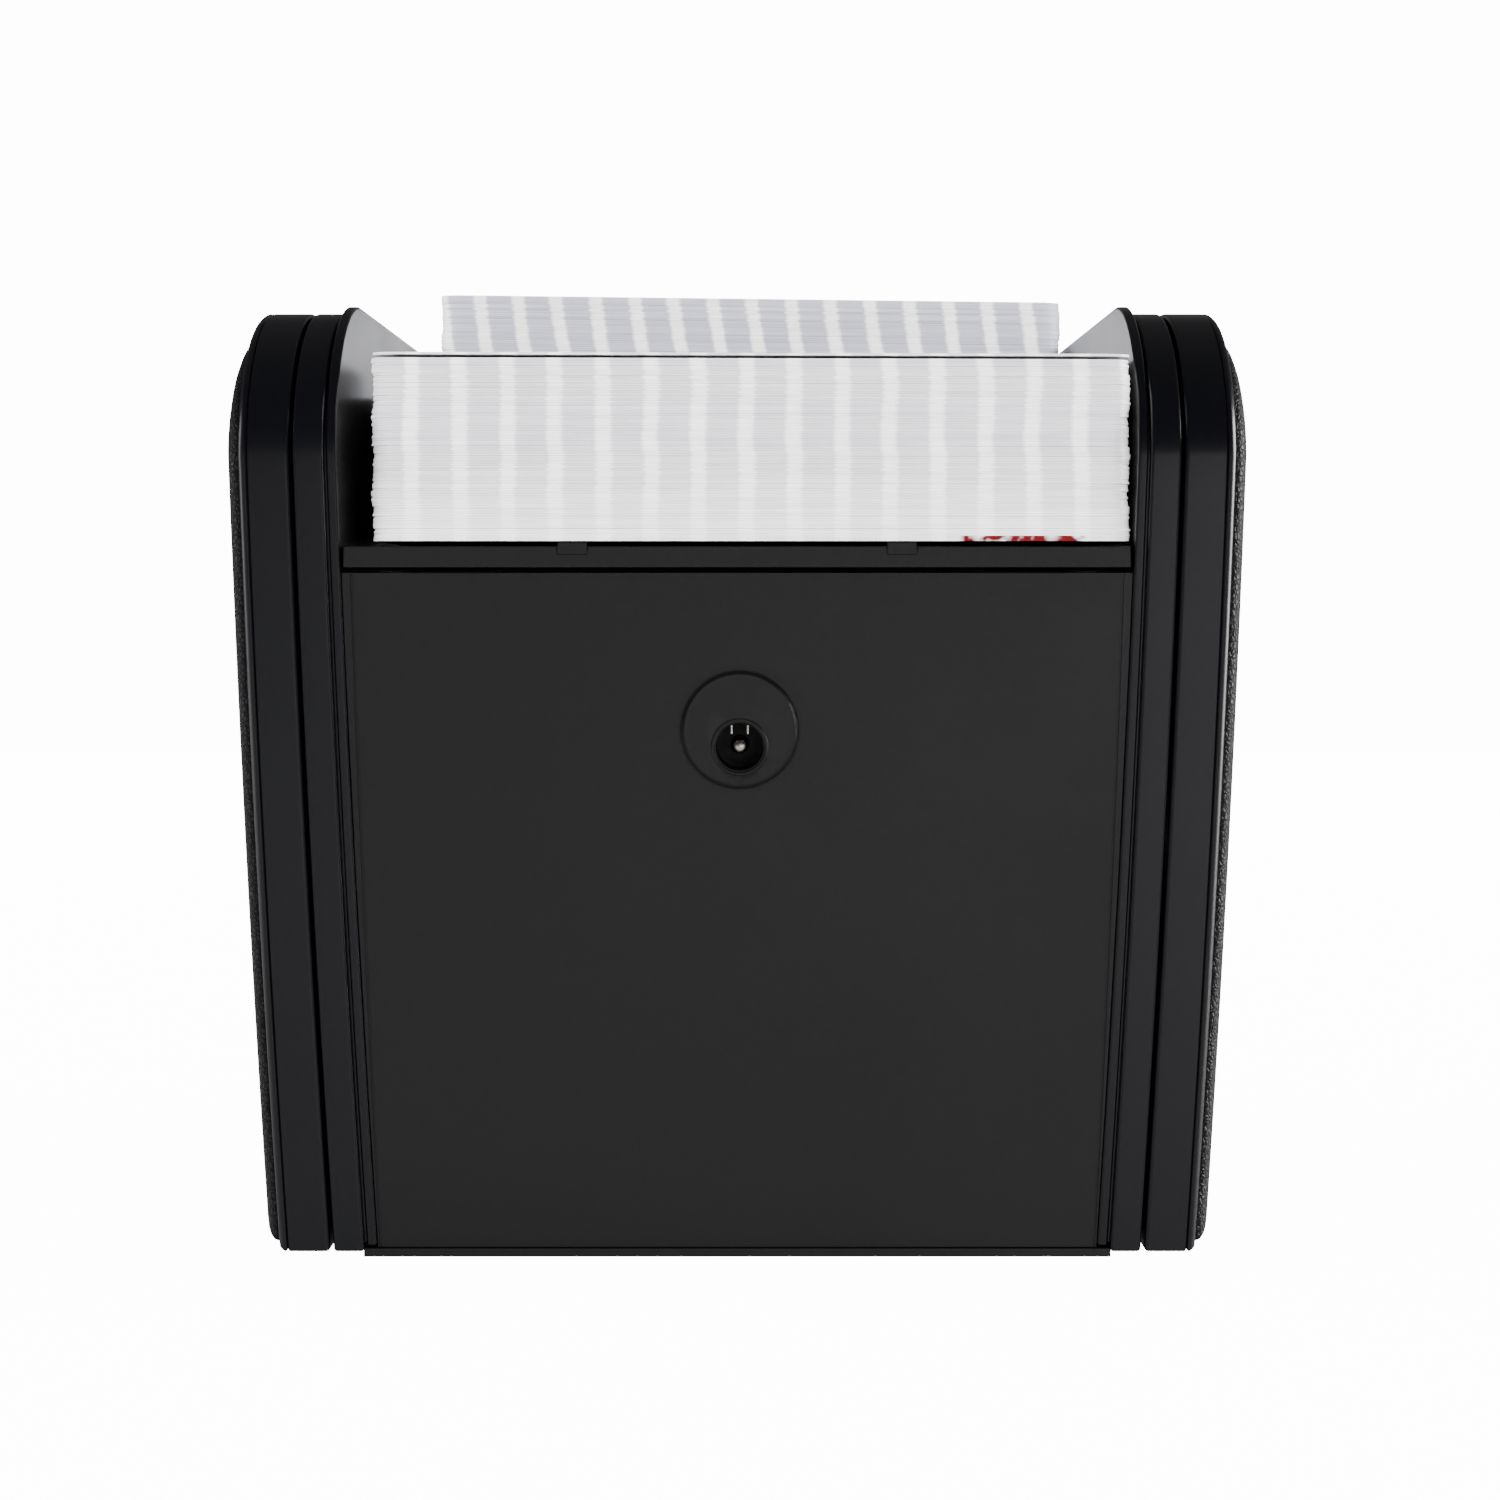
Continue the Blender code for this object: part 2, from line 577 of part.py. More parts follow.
# ---------------------------------------------------------------- drawer

def makeChute():
    """Channel across the machine: the cards fall in it and the drawer runs in it."""
    inner, outer, floor = CHUTE["inner"], CHUTE["outer"], CHUTE["floor"]
    outline = [(-outer, CHUTE["bottom"]), (outer, CHUTE["bottom"]), (outer, CHUTE_WALL_TOP),
               (inner, CHUTE_WALL_TOP), (inner, floor), (-inner, floor),
               (-inner, CHUTE_WALL_TOP), (-outer, CHUTE_WALL_TOP)]
    finish(plateShape("x", [outline], -CHUTE["half"], CHUTE["half"]), "card_chute", "housing")


def makeDrawer():
    """Open tray for the shuffled cards, with a scooped front wall."""
    y = DRAWER_HALF
    drawer = finish(boxShape((-DRAWER_BACK, DRAWER_END), (-y, y), (DRAWER_BOTTOM, DRAWER_TOP)),
                    "card_drawer", "housing")
    wall = DRAWER_WALL
    inside = boxShape((-DRAWER_BACK + wall, DRAWER_END - wall), (-y + wall, y - wall),
                      (DRAWER_BOTTOM + wall, DRAWER_TOP + 5.0))
    boolean(drawer, inside)
    scoop = rodShape("x", (0.0, SCOOP_Z), DRAWER_END - 5.5, FRONT_START + 4.2, SCOOP_RADIUS, 32)
    boolean(drawer, scoop)


def makeDrawerFront():
    """Thick front face that follows the lean of the pad around it."""
    front = boxShape((FRONT_START - 0.8, FRONT_END), (-DRAWER_HALF, DRAWER_HALF),
                     (DRAWER_BOTTOM, WINDOW_HIGH - 2 * GAP))
    front = finish(leanIn(front), "drawer_front", "trim")
    boolean(front, boxShape((0.0, FRONT_START), (-THROUGH, THROUGH), (0.0, THROUGH)))
    boolean(front, rodShape("x", (0.0, SCOOP_Z), 0.0, THROUGH, SCOOP_RADIUS, 32))


# ---------------------------------------------------------------- start button

def makeButton():
    """Round cap with a collar that the cover holds in, its spring and its switch."""
    centre = (0.0, BUTTON_Z)
    button = finish(rodShape("x", centre, *BUTTON_COLLAR, BUTTON_FLANGE, 32), "start_button", "trim",
                    (0.0, *centre))
    cap = rodShape("x", centre, BUTTON_COLLAR[0] + 0.5, BUTTON_FACE, BUTTON_RADIUS, 32)
    boolean(button, cap, "UNION")
    makeSpring("button_spring")
    switch = finish(boxShape(*SWITCH_BOX), "micro_switch", "housing")
    boolean(switch, boxShape(*SWITCH_LEVER), "UNION")


def makeSpring(name):
    """A coil along +X behind the button."""
    low, high, radius = SPRING["low"], SPRING["high"], SPRING["radius"]
    wire, turns = SPRING["wire"], SPRING["turns"]
    steps = int(turns * SPRING["points"])
    curve = bpy.data.curves.new(name, "CURVE")
    curve.dimensions = "3D"
    curve.bevel_depth = wire * MM
    curve.bevel_resolution = 1
    curve.use_fill_caps = True
    spline = curve.splines.new("POLY")
    spline.points.add(steps)
    for i, point in enumerate(spline.points):
        angle = 2 * pi * turns * i / steps
        along = low + wire + (high - low - 2 * wire) * i / steps
        point.co = (along * MM, radius * cos(angle) * MM, (BUTTON_Z + radius * sin(angle)) * MM, 1.0)
    holder = bpy.data.objects.new(name, curve)
    bpy.context.scene.collection.objects.link(holder)
    bpy.context.view_layer.update()
    mesh = bpy.data.meshes.new_from_object(holder.evaluated_get(bpy.context.evaluated_depsgraph_get()))
    bpy.data.objects.remove(holder, do_unlink=True)
    bm = bmesh.new()
    bm.from_mesh(mesh)
    bmesh.ops.remove_doubles(bm, verts=bm.verts, dist=0.000001)
    bmesh.ops.recalc_face_normals(bm, faces=bm.faces)
    bm.to_mesh(mesh)
    bm.free()
    addObject(name, mesh, "steel")


# ---------------------------------------------------------------- power inlet

def makeInlet(panel):
    """Round bezel on the end panel, the socket behind it and its centre pin."""
    holeZ = INLET_Z - INLET_HOLE_DROP
    hole = (INLET_X, holeZ)
    shoulder, block = SOCKET["shoulder"], SOCKET["block"]
    boolean(panel, rodShape("y", hole, -THROUGH, shoulder, SOCKET["radius"] + 0.4))
    face = -PANEL_Y - GAP
    bezel = finish(rodShape("y", (INLET_X, INLET_Z), face - BEZEL_THICK, face, BEZEL_RADIUS, 32),
                   "dc_jack_bezel", "housing")
    roundEdges(bezel, 0.45)
    boolean(bezel, rodShape("y", hole, -THROUGH, shoulder, INLET_BORE))
    socket = finish(rodShape("y", hole, face + GAP, shoulder, SOCKET["radius"]), "dc_jack_body",
                    "housing")
    body = boxShape((INLET_X - block, INLET_X + block), (SOCKET["front"], SOCKET["back"]),
                    (holeZ - block, holeZ + block))
    boolean(socket, body, "UNION")
    boolean(socket, rodShape("y", hole, -THROUGH, SOCKET["bore_end"], INLET_BORE - 0.1, 32))
    boolean(socket, rodShape("y", hole, shoulder, SOCKET["back"] + 4.0, SOCKET["pin_hole"], 16))
    finish(rodShape("y", hole, PIN["tip"], PIN["tail"], PIN["radius"], 16), "dc_jack_pin", "steel")


def makeBoard():
    """Control board over the near end of the base, with its larger components."""
    board = finish(boxShape(*BOARD_BOX), "circuit_board", "board")
    low, top = BOARD_BOX[2]
    for x, y, radius, height in BOARD_ROUNDS:
        boolean(board, rodShape("z", (x, y), top - 0.6, height, radius, 16), "UNION")
    for x, y, height in BOARD_BLOCKS:
        boolean(board, boxShape(x, y, (top - 0.6, height)), "UNION")
    for side in SIDES.values():
        place = (side * BOARD_HOLES["x"], BOARD_HOLES["y"])
        boolean(board, rodShape("z", place, low - 1.0, top + 1.4, BOARD_HOLES["radius"], 12))


# ---------------------------------------------------------------- cells

def makeCells():
    """Cells in alternate directions, the sprung contact strips and the sliding door."""
    for number in range(4):
        y = CELL_FIRST_Y + number * CELL_PITCH
        flip = 1 if number % 2 else -1
        cell = finish(rodShape("x", (y, CELL_Z), -CELL_HALF, CELL_HALF, CELL_RADIUS),
                      f"battery_{number + 1}", "cell")
        out = CELL_NUB["out"]
        nub = sorted((flip * (CELL_HALF - out), flip * (CELL_HALF + out)))
        boolean(cell, rodShape("x", (y, CELL_Z), *nub, CELL_NUB["radius"], 16), "UNION")
    for side in SIDES.values():
        name = "battery_contact_left" if side < 0 else "battery_contact_right"
        x = sorted(side * v for v in CONTACT["x"])
        strip = finish(boxShape(x, CONTACT["y"], (BASE_TOP + GAP, CONTACT["top"])), name, "steel")
        boolean(strip, boxShape((x[0] - 1.0, x[1] + 1.0), CONTACT["split"],
                                (CONTACT["split_z"], CONTACT["top"] + 4.0)))
    half = WELL_HALF - 0.4
    door = finish(boxShape((-half, half), DOOR_Y, DOOR_Z), "battery_door", "housing")
    groove = DOOR_GROOVE - 0.4
    boolean(door, boxShape((-groove, groove), DOOR_Y, (DOOR_TONGUE_Z, DOOR_Z[1])), "UNION")
    ribs = DOOR_RIBS
    for i in range(ribs["count"]):
        y = ribs["first"] + ribs["pitch"] * i
        boolean(door, boxShape((-ribs["x"], ribs["x"]), (y - ribs["half"], y + ribs["half"]),
                               (0.0, ribs["depth"])))


# ---------------------------------------------------------------- assembly

def buildAll():
    makeBase()
    makeFeet()
    makeScrews()
    nearPanel = makeEndPanel(-1, "end_panel_near")
    farPanel = makeEndPanel(1, "end_panel_far")
    boolean(farPanel, boxShape((-DOOR_GROOVE - 0.5, DOOR_GROOVE + 0.5), (90.0, THROUGH),
                               (0.0, DOOR_Z[1] + 0.4)))
    makeInlet(nearPanel)
    for label, side in SIDES.items():
        makeInnerShell(side, f"inner_shell_{label}")
        makeSideCover(side, f"side_cover_{label}")
        makePad(side, f"leather_pad_{label}")
    for label, end in ENDS.items():
        makeTray(end, f"hopper_tray_{label}")
        makeGate(end, f"card_gate_{label}")
        makeStack(end, f"card_stack_{label}", STACK_TOP[label])
        makeTrain(end, label)
    makeChute()
    makeDrawer()
    makeDrawerFront()
    makeButton()
    makeBoard()
    makeCells()


buildAll()
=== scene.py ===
import json
import math
import random

import bmesh
import bpy
from mathutils import Matrix, Vector


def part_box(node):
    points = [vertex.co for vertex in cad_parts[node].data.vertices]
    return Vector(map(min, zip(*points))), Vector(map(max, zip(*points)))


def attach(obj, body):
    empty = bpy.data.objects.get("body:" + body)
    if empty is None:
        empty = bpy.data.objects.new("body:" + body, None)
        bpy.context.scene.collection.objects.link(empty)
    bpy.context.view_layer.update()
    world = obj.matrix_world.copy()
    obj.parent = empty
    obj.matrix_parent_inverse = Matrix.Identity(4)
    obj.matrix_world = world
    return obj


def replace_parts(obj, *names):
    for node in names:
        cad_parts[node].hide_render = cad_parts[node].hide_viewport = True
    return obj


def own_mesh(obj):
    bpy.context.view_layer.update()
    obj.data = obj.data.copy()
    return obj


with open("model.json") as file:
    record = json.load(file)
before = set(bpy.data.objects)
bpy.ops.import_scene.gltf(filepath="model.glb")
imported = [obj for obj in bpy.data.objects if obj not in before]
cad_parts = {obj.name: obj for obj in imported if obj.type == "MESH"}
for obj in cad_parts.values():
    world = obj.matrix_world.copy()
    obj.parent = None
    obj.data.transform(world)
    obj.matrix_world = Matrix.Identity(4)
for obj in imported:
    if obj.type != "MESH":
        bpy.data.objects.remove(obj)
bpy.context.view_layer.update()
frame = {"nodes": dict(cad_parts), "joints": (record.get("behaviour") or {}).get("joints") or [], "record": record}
random.seed(11)
mm = 0.001
bodies = frame["record"]["behaviour"]["bodies"]
bodyOf = {node: body for body, nodes in bodies.items() for node in nodes}
slotOf = {row["node"]: row["material_slot"] for row in frame["record"]["subparts"]}
ends = {"near": -1, "far": 1}
sides = {"left": -1, "right": 1}
print("frame loaded:", len(frame["nodes"]), "nodes")

# the arch of the padded sides, in millimetres, as the frame has it
arch = {
    "endY": 100.0, "bottom": 1.5, "shoulderZ": 94.8, "cornerRun": 41.0, "cornerRise": 18.6,
    "crownRise": 0.9, "cornerSteps": 28, "crownSteps": 12,
    "leanLinear": 0.0349, "leanSquare": 0.000162, "leanEvery": 6.0,
    "leanTop": 95.0,
}


def boxMm(node):  # a node's (low, high) corners in millimetres
    low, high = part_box(node)
    return low / mm, high / mm


# ---- small helpers for nodes and colours


def hexColour(text, alpha=1.0):  # sRGB hex to linear
    parts = [int(text[i:i + 2], 16) / 255 for i in (1, 3, 5)]
    linear = [c / 12.92 if c <= 0.04045 else ((c + 0.055) / 1.055) ** 2.4 for c in parts]
    return (*linear, alpha)


def addNode(tree, kind, settings=None, links=None):
    node = tree.nodes.new(kind)
    for key, value in (settings or {}).items():
        if isinstance(key, int) or key in node.inputs:
            node.inputs[key].default_value = value
        else:
            setattr(node, key, value)
    for key, socket in (links or {}).items():
        tree.links.new(socket, node.inputs[key])
    return node


def startFinish(name, shaderSettings):  # a new material with its shader and its place on the piece
    material = bpy.data.materials.new(name)
    material.use_nodes = True
    tree = material.node_tree
    shader = tree.nodes["Principled BSDF"]
    for key, value in shaderSettings.items():
        shader.inputs[key].default_value = value
    place = addNode(tree, "ShaderNodeTexCoord").outputs["Object"]
    return material, tree, shader, place


def bumpOn(tree, shader, height, strength, distance, below=None):
    links = {"Height": height}
    if below:
        links["Normal"] = below
    bump = addNode(tree, "ShaderNodeBump", {"Strength": strength, "Distance": distance}, links)
    tree.links.new(bump.outputs["Normal"], shader.inputs["Normal"])
    return bump.outputs["Normal"]


def rampOf(tree, factor, stops):
    ramp = addNode(tree, "ShaderNodeValToRGB", None, {"Fac": factor})
    while len(ramp.color_ramp.elements) < len(stops):
        ramp.color_ramp.elements.new(0.5)
    for element, (position, colour) in zip(ramp.color_ramp.elements, stops):
        element.position = position
        element.color = colour
    return ramp.outputs["Color"]


# ---- materials, each named for what the real one is

absLook = {"colour": "#0a0a0b", "smudge": "#080809", "grain": 0.35, "roughness": (0.34, 0.42)}


def makeMouldedAbs():  # black ABS from a spark-textured mould: satin, with a fine even grain
    material, tree, shader, place = startFinish("moulded_abs_black", {
        "IOR": 1.5, "Roughness": 0.4, "Specular IOR Level": 0.4})
    grain = addNode(tree, "ShaderNodeTexNoise", {
        "Scale": 1 / (absLook["grain"] * mm), "Detail": 2.0, "Roughness": 0.6}, {"Vector": place})
    handling = addNode(tree, "ShaderNodeTexNoise", {
        "Scale": 38.0, "Detail": 4.0, "Roughness": 0.55}, {"Vector": place})
    low, high = absLook["roughness"]
    rough = addNode(tree, "ShaderNodeMapRange", {
        "From Min": 0.35, "From Max": 0.65, "To Min": low, "To Max": high},
        {"Value": handling.outputs["Fac"]})
    tree.links.new(rough.outputs["Result"], shader.inputs["Roughness"])
    colour = rampOf(tree, handling.outputs["Fac"], [
        (0.3, hexColour(absLook["smudge"])), (0.62, hexColour(absLook["colour"]))])
    tree.links.new(colour, shader.inputs["Base Color"])
    bumpOn(tree, shader, grain.outputs["Fac"], 0.25, 0.00004)
    return material


trimLook = {"colour": "#040406", "edge": "#07070a", "roughness": (0.26, 0.34), "flow": 14.0}


def makePolishedAbs():  # the same ABS from a smooth mould: deep black, soft-edged gloss
    material, tree, shader, place = startFinish("polished_abs_black", {
        "IOR": 1.5, "Roughness": 0.33, "Specular IOR Level": 0.36, "Coat Weight": 0.05,
        "Coat Roughness": 0.18})
    flow = addNode(tree, "ShaderNodeTexNoise", {
        "Scale": trimLook["flow"], "Detail": 3.0, "Roughness": 0.5}, {"Vector": place})
    rubs = addNode(tree, "ShaderNodeTexNoise", {
        "Scale": 420.0, "Detail": 2.0, "Distortion": 0.4}, {"Vector": place})
    low, high = trimLook["roughness"]
    rough = addNode(tree, "ShaderNodeMapRange", {
        "From Min": 0.3, "From Max": 0.7, "To Min": low, "To Max": high},
        {"Value": flow.outputs["Fac"]})
    tree.links.new(rough.outputs["Result"], shader.inputs["Roughness"])
    colour = rampOf(tree, flow.outputs["Fac"], [
        (0.35, hexColour(trimLook["colour"])), (0.7, hexColour(trimLook["edge"]))])
    tree.links.new(colour, shader.inputs["Base Color"])
    bumpOn(tree, shader, rubs.outputs["Fac"], 0.08, 0.00003)
    return material


# the crease colour is painted shade: a darker colour laid into the creases between pebbles
leatherLook = {"colour": "#0d0d0e", "paintedCreaseShade": "#030304", "pebble": 0.62, "roughness": (0.42, 0.65)}


def makeLeatherette():  # embossed PU on cloth: rounded pebbles, with painted shade darkening the creases between them
    material, tree, shader, place = startFinish("pu_leatherette_pebbled", {
        "IOR": 1.45, "Roughness": 0.55, "Specular IOR Level": 0.28})
    warp = addNode(tree, "ShaderNodeTexNoise", {"Scale": 260.0, "Detail": 2.0}, {"Vector": place})
    moved = addNode(tree, "ShaderNodeVectorMath", {"operation": "MULTIPLY_ADD", 1: (0.0004,) * 3},
                    {0: warp.outputs["Color"], 2: place})
    pebbles = addNode(tree, "ShaderNodeTexVoronoi", {
        "feature": "DISTANCE_TO_EDGE", "Scale": 1 / (leatherLook["pebble"] * mm)},
        {"Vector": moved.outputs["Vector"]})
    dome = addNode(tree, "ShaderNodeMapRange", {
        "interpolation_type": "SMOOTHSTEP", "From Min": 0.0, "From Max": 0.28},
        {"Value": pebbles.outputs["Distance"]})
    pores = addNode(tree, "ShaderNodeTexNoise", {"Scale": 2600.0, "Detail": 2.0}, {"Vector": place})
    low, high = leatherLook["roughness"]
    rough = addNode(tree, "ShaderNodeMapRange", {"To Min": high, "To Max": low},
                    {"Value": dome.outputs["Result"]})
    tree.links.new(rough.outputs["Result"], shader.inputs["Roughness"])
    # painted shade: the creases between pebbles get the darker crease colour, standing in for their shadow
    colour = rampOf(tree, dome.outputs["Result"], [
        (0.0, hexColour(leatherLook["paintedCreaseShade"])), (0.6, hexColour(leatherLook["colour"]))])
    tree.links.new(colour, shader.inputs["Base Color"])
    fine = bumpOn(tree, shader, pores.outputs["Fac"], 0.2, 0.00003)
    bumpOn(tree, shader, dome.outputs["Result"], 0.8, 0.0001, fine)
    return material


cardLook = {
    # deep is the print colour for the far pack, darker than print: painted shade for the far pack lying in shadow
    # behind the near one
    "paper": "#fbfbf9", "print": "#c4c4ca", "deep": "#a3a3b2", "pitch": 5.59,
    "red": "#5a0006", "dust": 0.86, "redFrom": 26.0, "redTo": 41.0, "redFade": 0.6, "redHigh": 0.62,
}


def makeCardStock(name, phase, slant, printHex, redMarks=False):
    # coated card: the back's print runs off the edges, so a pack's side shows upright bands
    material, tree, shader, place = startFinish(name, {
        "IOR": 1.5, "Roughness": 0.48, "Specular IOR Level": 0.35})
    parts = addNode(tree, "ShaderNodeSeparateXYZ", None, {"Vector": place})
    shade = addNode(tree, "ShaderNodeAttribute", {"attribute_name": "cardShade"}).outputs["Fac"]
    wobble = addNode(tree, "ShaderNodeTexNoise", {"Scale": 120.0, "Detail": 2.0}, {"Vector": place})
    tilted = addNode(tree, "ShaderNodeMath", {"operation": "MULTIPLY", 1: slant},
                     {0: parts.outputs["Z"]})
    jitter = addNode(tree, "ShaderNodeMath", {"operation": "MULTIPLY_ADD", 1: 0.00035},
                     {0: shade, 2: tilted.outputs["Value"]})
    soft = addNode(tree, "ShaderNodeMath", {"operation": "MULTIPLY_ADD", 1: 0.0009},
                   {0: wobble.outputs["Fac"], 2: jitter.outputs["Value"]})
    across = addNode(tree, "ShaderNodeMath", {"operation": "ADD"},
                     {0: parts.outputs["X"], 1: soft.outputs["Value"]})
    pitch = cardLook["pitch"] * mm
    turn = addNode(tree, "ShaderNodeMath", {"operation": "MULTIPLY_ADD", 1: 1 / pitch, 2: phase},
                   {0: across.outputs["Value"]})
    saw = addNode(tree, "ShaderNodeMath", {"operation": "PINGPONG", 1: 0.5}, {0: turn.outputs["Value"]})
    band = addNode(tree, "ShaderNodeMapRange", {
        "interpolation_type": "SMOOTHSTEP", "From Min": 0.10, "From Max": 0.22},
        {"Value": saw.outputs["Value"]})
    # the faces: a lattice of crossed diagonals with a small dot in each diamond
    sumXY = addNode(tree, "ShaderNodeMath", {"operation": "ADD"},
                    {0: parts.outputs["X"], 1: parts.outputs["Y"]})
    difXY = addNode(tree, "ShaderNodeMath", {"operation": "SUBTRACT"},
                    {0: parts.outputs["X"], 1: parts.outputs["Y"]})
    lines = []
    for way in (sumXY, difXY):
        count = addNode(tree, "ShaderNodeMath", {"operation": "MULTIPLY", 1: 1 / pitch},
                        {0: way.outputs["Value"]})
        lines.append(addNode(tree, "ShaderNodeMath", {"operation": "PINGPONG", 1: 0.5},
                             {0: count.outputs["Value"]}))
    nearest = addNode(tree, "ShaderNodeMath", {"operation": "MINIMUM"},
                      {0: lines[0].outputs["Value"], 1: lines[1].outputs["Value"]})
    lattice = addNode(tree, "ShaderNodeMapRange", {
        "interpolation_type": "SMOOTHSTEP", "From Min": 0.09, "From Max": 0.14},
        {"Value": nearest.outputs["Value"]})
    facing = addNode(tree, "ShaderNodeSeparateXYZ", None,
                     {"Vector": addNode(tree, "ShaderNodeNewGeometry").outputs["Normal"]})
    flat = addNode(tree, "ShaderNodeMath", {"operation": "ABSOLUTE"}, {0: facing.outputs["Z"]})
    onFace = addNode(tree, "ShaderNodeMath", {"operation": "GREATER_THAN", 1: 0.7},
                     {0: flat.outputs["Value"]})
    ink = addNode(tree, "ShaderNodeMix", {"data_type": "FLOAT"}, {
        0: onFace.outputs["Value"], 2: band.outputs["Result"], 3: lattice.outputs["Result"]})
    tone = addNode(tree, "ShaderNodeMapRange", {"To Min": 0.78, "To Max": 1.0}, {"Value": shade})
    low = boxMm("card_stack_near")[0].z * mm
    fade = addNode(tree, "ShaderNodeMapRange", {  # the lowest cards show little print
        "From Min": low + 0.001, "From Max": low + 0.009, "To Min": 0.45, "To Max": 1.0},
        {"Value": parts.outputs["Z"]})
    toned = addNode(tree, "ShaderNodeMath", {"operation": "MULTIPLY"},
                    {0: tone.outputs["Result"], 1: fade.outputs["Result"]})
    inked = addNode(tree, "ShaderNodeMath", {"operation": "MULTIPLY"},
                    {0: ink.outputs[0], 1: toned.outputs["Value"]})
    colour = rampOf(tree, inked.outputs["Value"], [
        (0.0, hexColour(cardLook["paper"])), (1.0, hexColour(printHex))])
    stretched = addNode(tree, "ShaderNodeMapping", {"Scale": (0.03, 0.03, 1.0)}, {"Vector": place})
    streaks = addNode(tree, "ShaderNodeTexNoise", {"Scale": 2100.0, "Detail": 3.0, "Roughness": 0.7},
                      {"Vector": stretched.outputs["Vector"]})
    worn = addNode(tree, "ShaderNodeMapRange", {  # cut edges pick up dust in fine lines
        "From Min": 0.42, "From Max": 0.62, "To Min": 1.0, "To Max": cardLook["dust"]},
        {"Value": streaks.outputs["Fac"]})
    dusty = addNode(tree, "ShaderNodeMix", {"data_type": "RGBA", "blend_type": "MULTIPLY", 0: 1.0},
                    {6: colour, 7: worn.outputs["Result"]})
    colour = dusty.outputs[2]
    if redMarks:
        colour = addRedMarks(tree, place, parts, colour)
    tree.links.new(colour, shader.inputs["Base Color"])
    linen = addNode(tree, "ShaderNodeTexWave", {
        "wave_type": "BANDS", "bands_direction": "DIAGONAL", "Scale": 420.0, "Distortion": 0.4},
        {"Vector": place})
    bumpOn(tree, shader, linen.outputs["Fac"], 0.12, 0.00002)
    return material


def addRedMarks(tree, place, parts, under):  # a little red print that shows on the lowest edges
    low = boxMm("card_stack_near")[0].z
    start, end, fade = cardLook["redFrom"], cardLook["redTo"], cardLook["redFade"]
    alongX = addNode(tree, "ShaderNodeMapRange", {
        "From Min": start * mm, "From Max": (start + fade) * mm}, {"Value": parts.outputs["X"]})
    endX = addNode(tree, "ShaderNodeMapRange", {
        "From Min": end * mm, "From Max": (end - fade) * mm}, {"Value": parts.outputs["X"]})
    height = addNode(tree, "ShaderNodeMath", {"operation": "LESS_THAN", 1: (low + cardLook["redHigh"]) * mm},
                     {0: parts.outputs["Z"]})
    blots = addNode(tree, "ShaderNodeTexNoise", {"Scale": 330.0, "Detail": 2.0}, {"Vector": place})
    shapes = addNode(tree, "ShaderNodeMapRange", {"From Min": 0.38, "From Max": 0.5},
                     {"Value": blots.outputs["Fac"]})
    amount = shapes.outputs["Result"]
    for other in (alongX.outputs["Result"], endX.outputs["Result"], height.outputs["Value"]):
        amount = addNode(tree, "ShaderNodeMath", {"operation": "MULTIPLY"},
                         {0: amount, 1: other}).outputs["Value"]
    mixed = addNode(tree, "ShaderNodeMix", {"data_type": "RGBA", 7: hexColour(cardLook["red"])},
                    {0: amount, 6: under})
    return mixed.outputs[2]


def makeRubber(name, hexText, roughness=0.72, grain=0.25):  # moulded nitrile: matte, slightly dusty
    material, tree, shader, place = startFinish(name, {"IOR": 1.5, "Roughness": roughness})
    dust = addNode(tree, "ShaderNodeTexNoise", {"Scale": 90.0, "Detail": 5.0}, {"Vector": place})
    colour = rampOf(tree, dust.outputs["Fac"], [
        (0.4, hexColour(hexText)), (0.75, hexColour("#3a3a3b"))])
    tree.links.new(colour, shader.inputs["Base Color"])
    skin = addNode(tree, "ShaderNodeTexNoise", {"Scale": 1 / (grain * mm)}, {"Vector": place})
    bumpOn(tree, shader, skin.outputs["Fac"], 0.3, 0.00004)
    return material


def makeMetal(name, hexText, roughness, turned=False, lineMm=0.12):
    # drawn, ground or plated metal; a turned one shows fine rings round its X axis
    material, tree, shader, place = startFinish(name, {
        "Metallic": 1.0, "Roughness": roughness, "Base Color": hexColour(hexText)})
    stretch = (1, 0.03, 0.03) if turned else (1, 1, 1)
    mapped = addNode(tree, "ShaderNodeMapping", {"Scale": stretch}, {"Vector": place})
    lines = addNode(tree, "ShaderNodeTexNoise", {"Scale": 1 / (lineMm * mm), "Detail": 2.0},
                    {"Vector": mapped.outputs["Vector"]})
    cloud = addNode(tree, "ShaderNodeTexNoise", {"Scale": 70.0, "Detail": 4.0}, {"Vector": place})
    rough = addNode(tree, "ShaderNodeMapRange", {
        "To Min": roughness * 0.75, "To Max": roughness * 1.35}, {"Value": cloud.outputs["Fac"]})
    tree.links.new(rough.outputs["Result"], shader.inputs["Roughness"])
    bumpOn(tree, shader, lines.outputs["Fac"], 0.15, 0.00002)
    return material


def makeResin(name, hexText, darkHex, roughness, grain=0.6):  # moulded or laminated resin
    material, tree, shader, place = startFinish(name, {"IOR": 1.5, "Roughness": roughness})
    cloud = addNode(tree, "ShaderNodeTexNoise", {"Scale": 120.0, "Detail": 4.0}, {"Vector": place})
    colour = rampOf(tree, cloud.outputs["Fac"], [
        (0.3, hexColour(darkHex)), (0.65, hexColour(hexText))])
    tree.links.new(colour, shader.inputs["Base Color"])
    skin = addNode(tree, "ShaderNodeTexNoise", {"Scale": 1 / (grain * mm)}, {"Vector": place})
    bumpOn(tree, shader, skin.outputs["Fac"], 0.15, 0.00004)
    return material


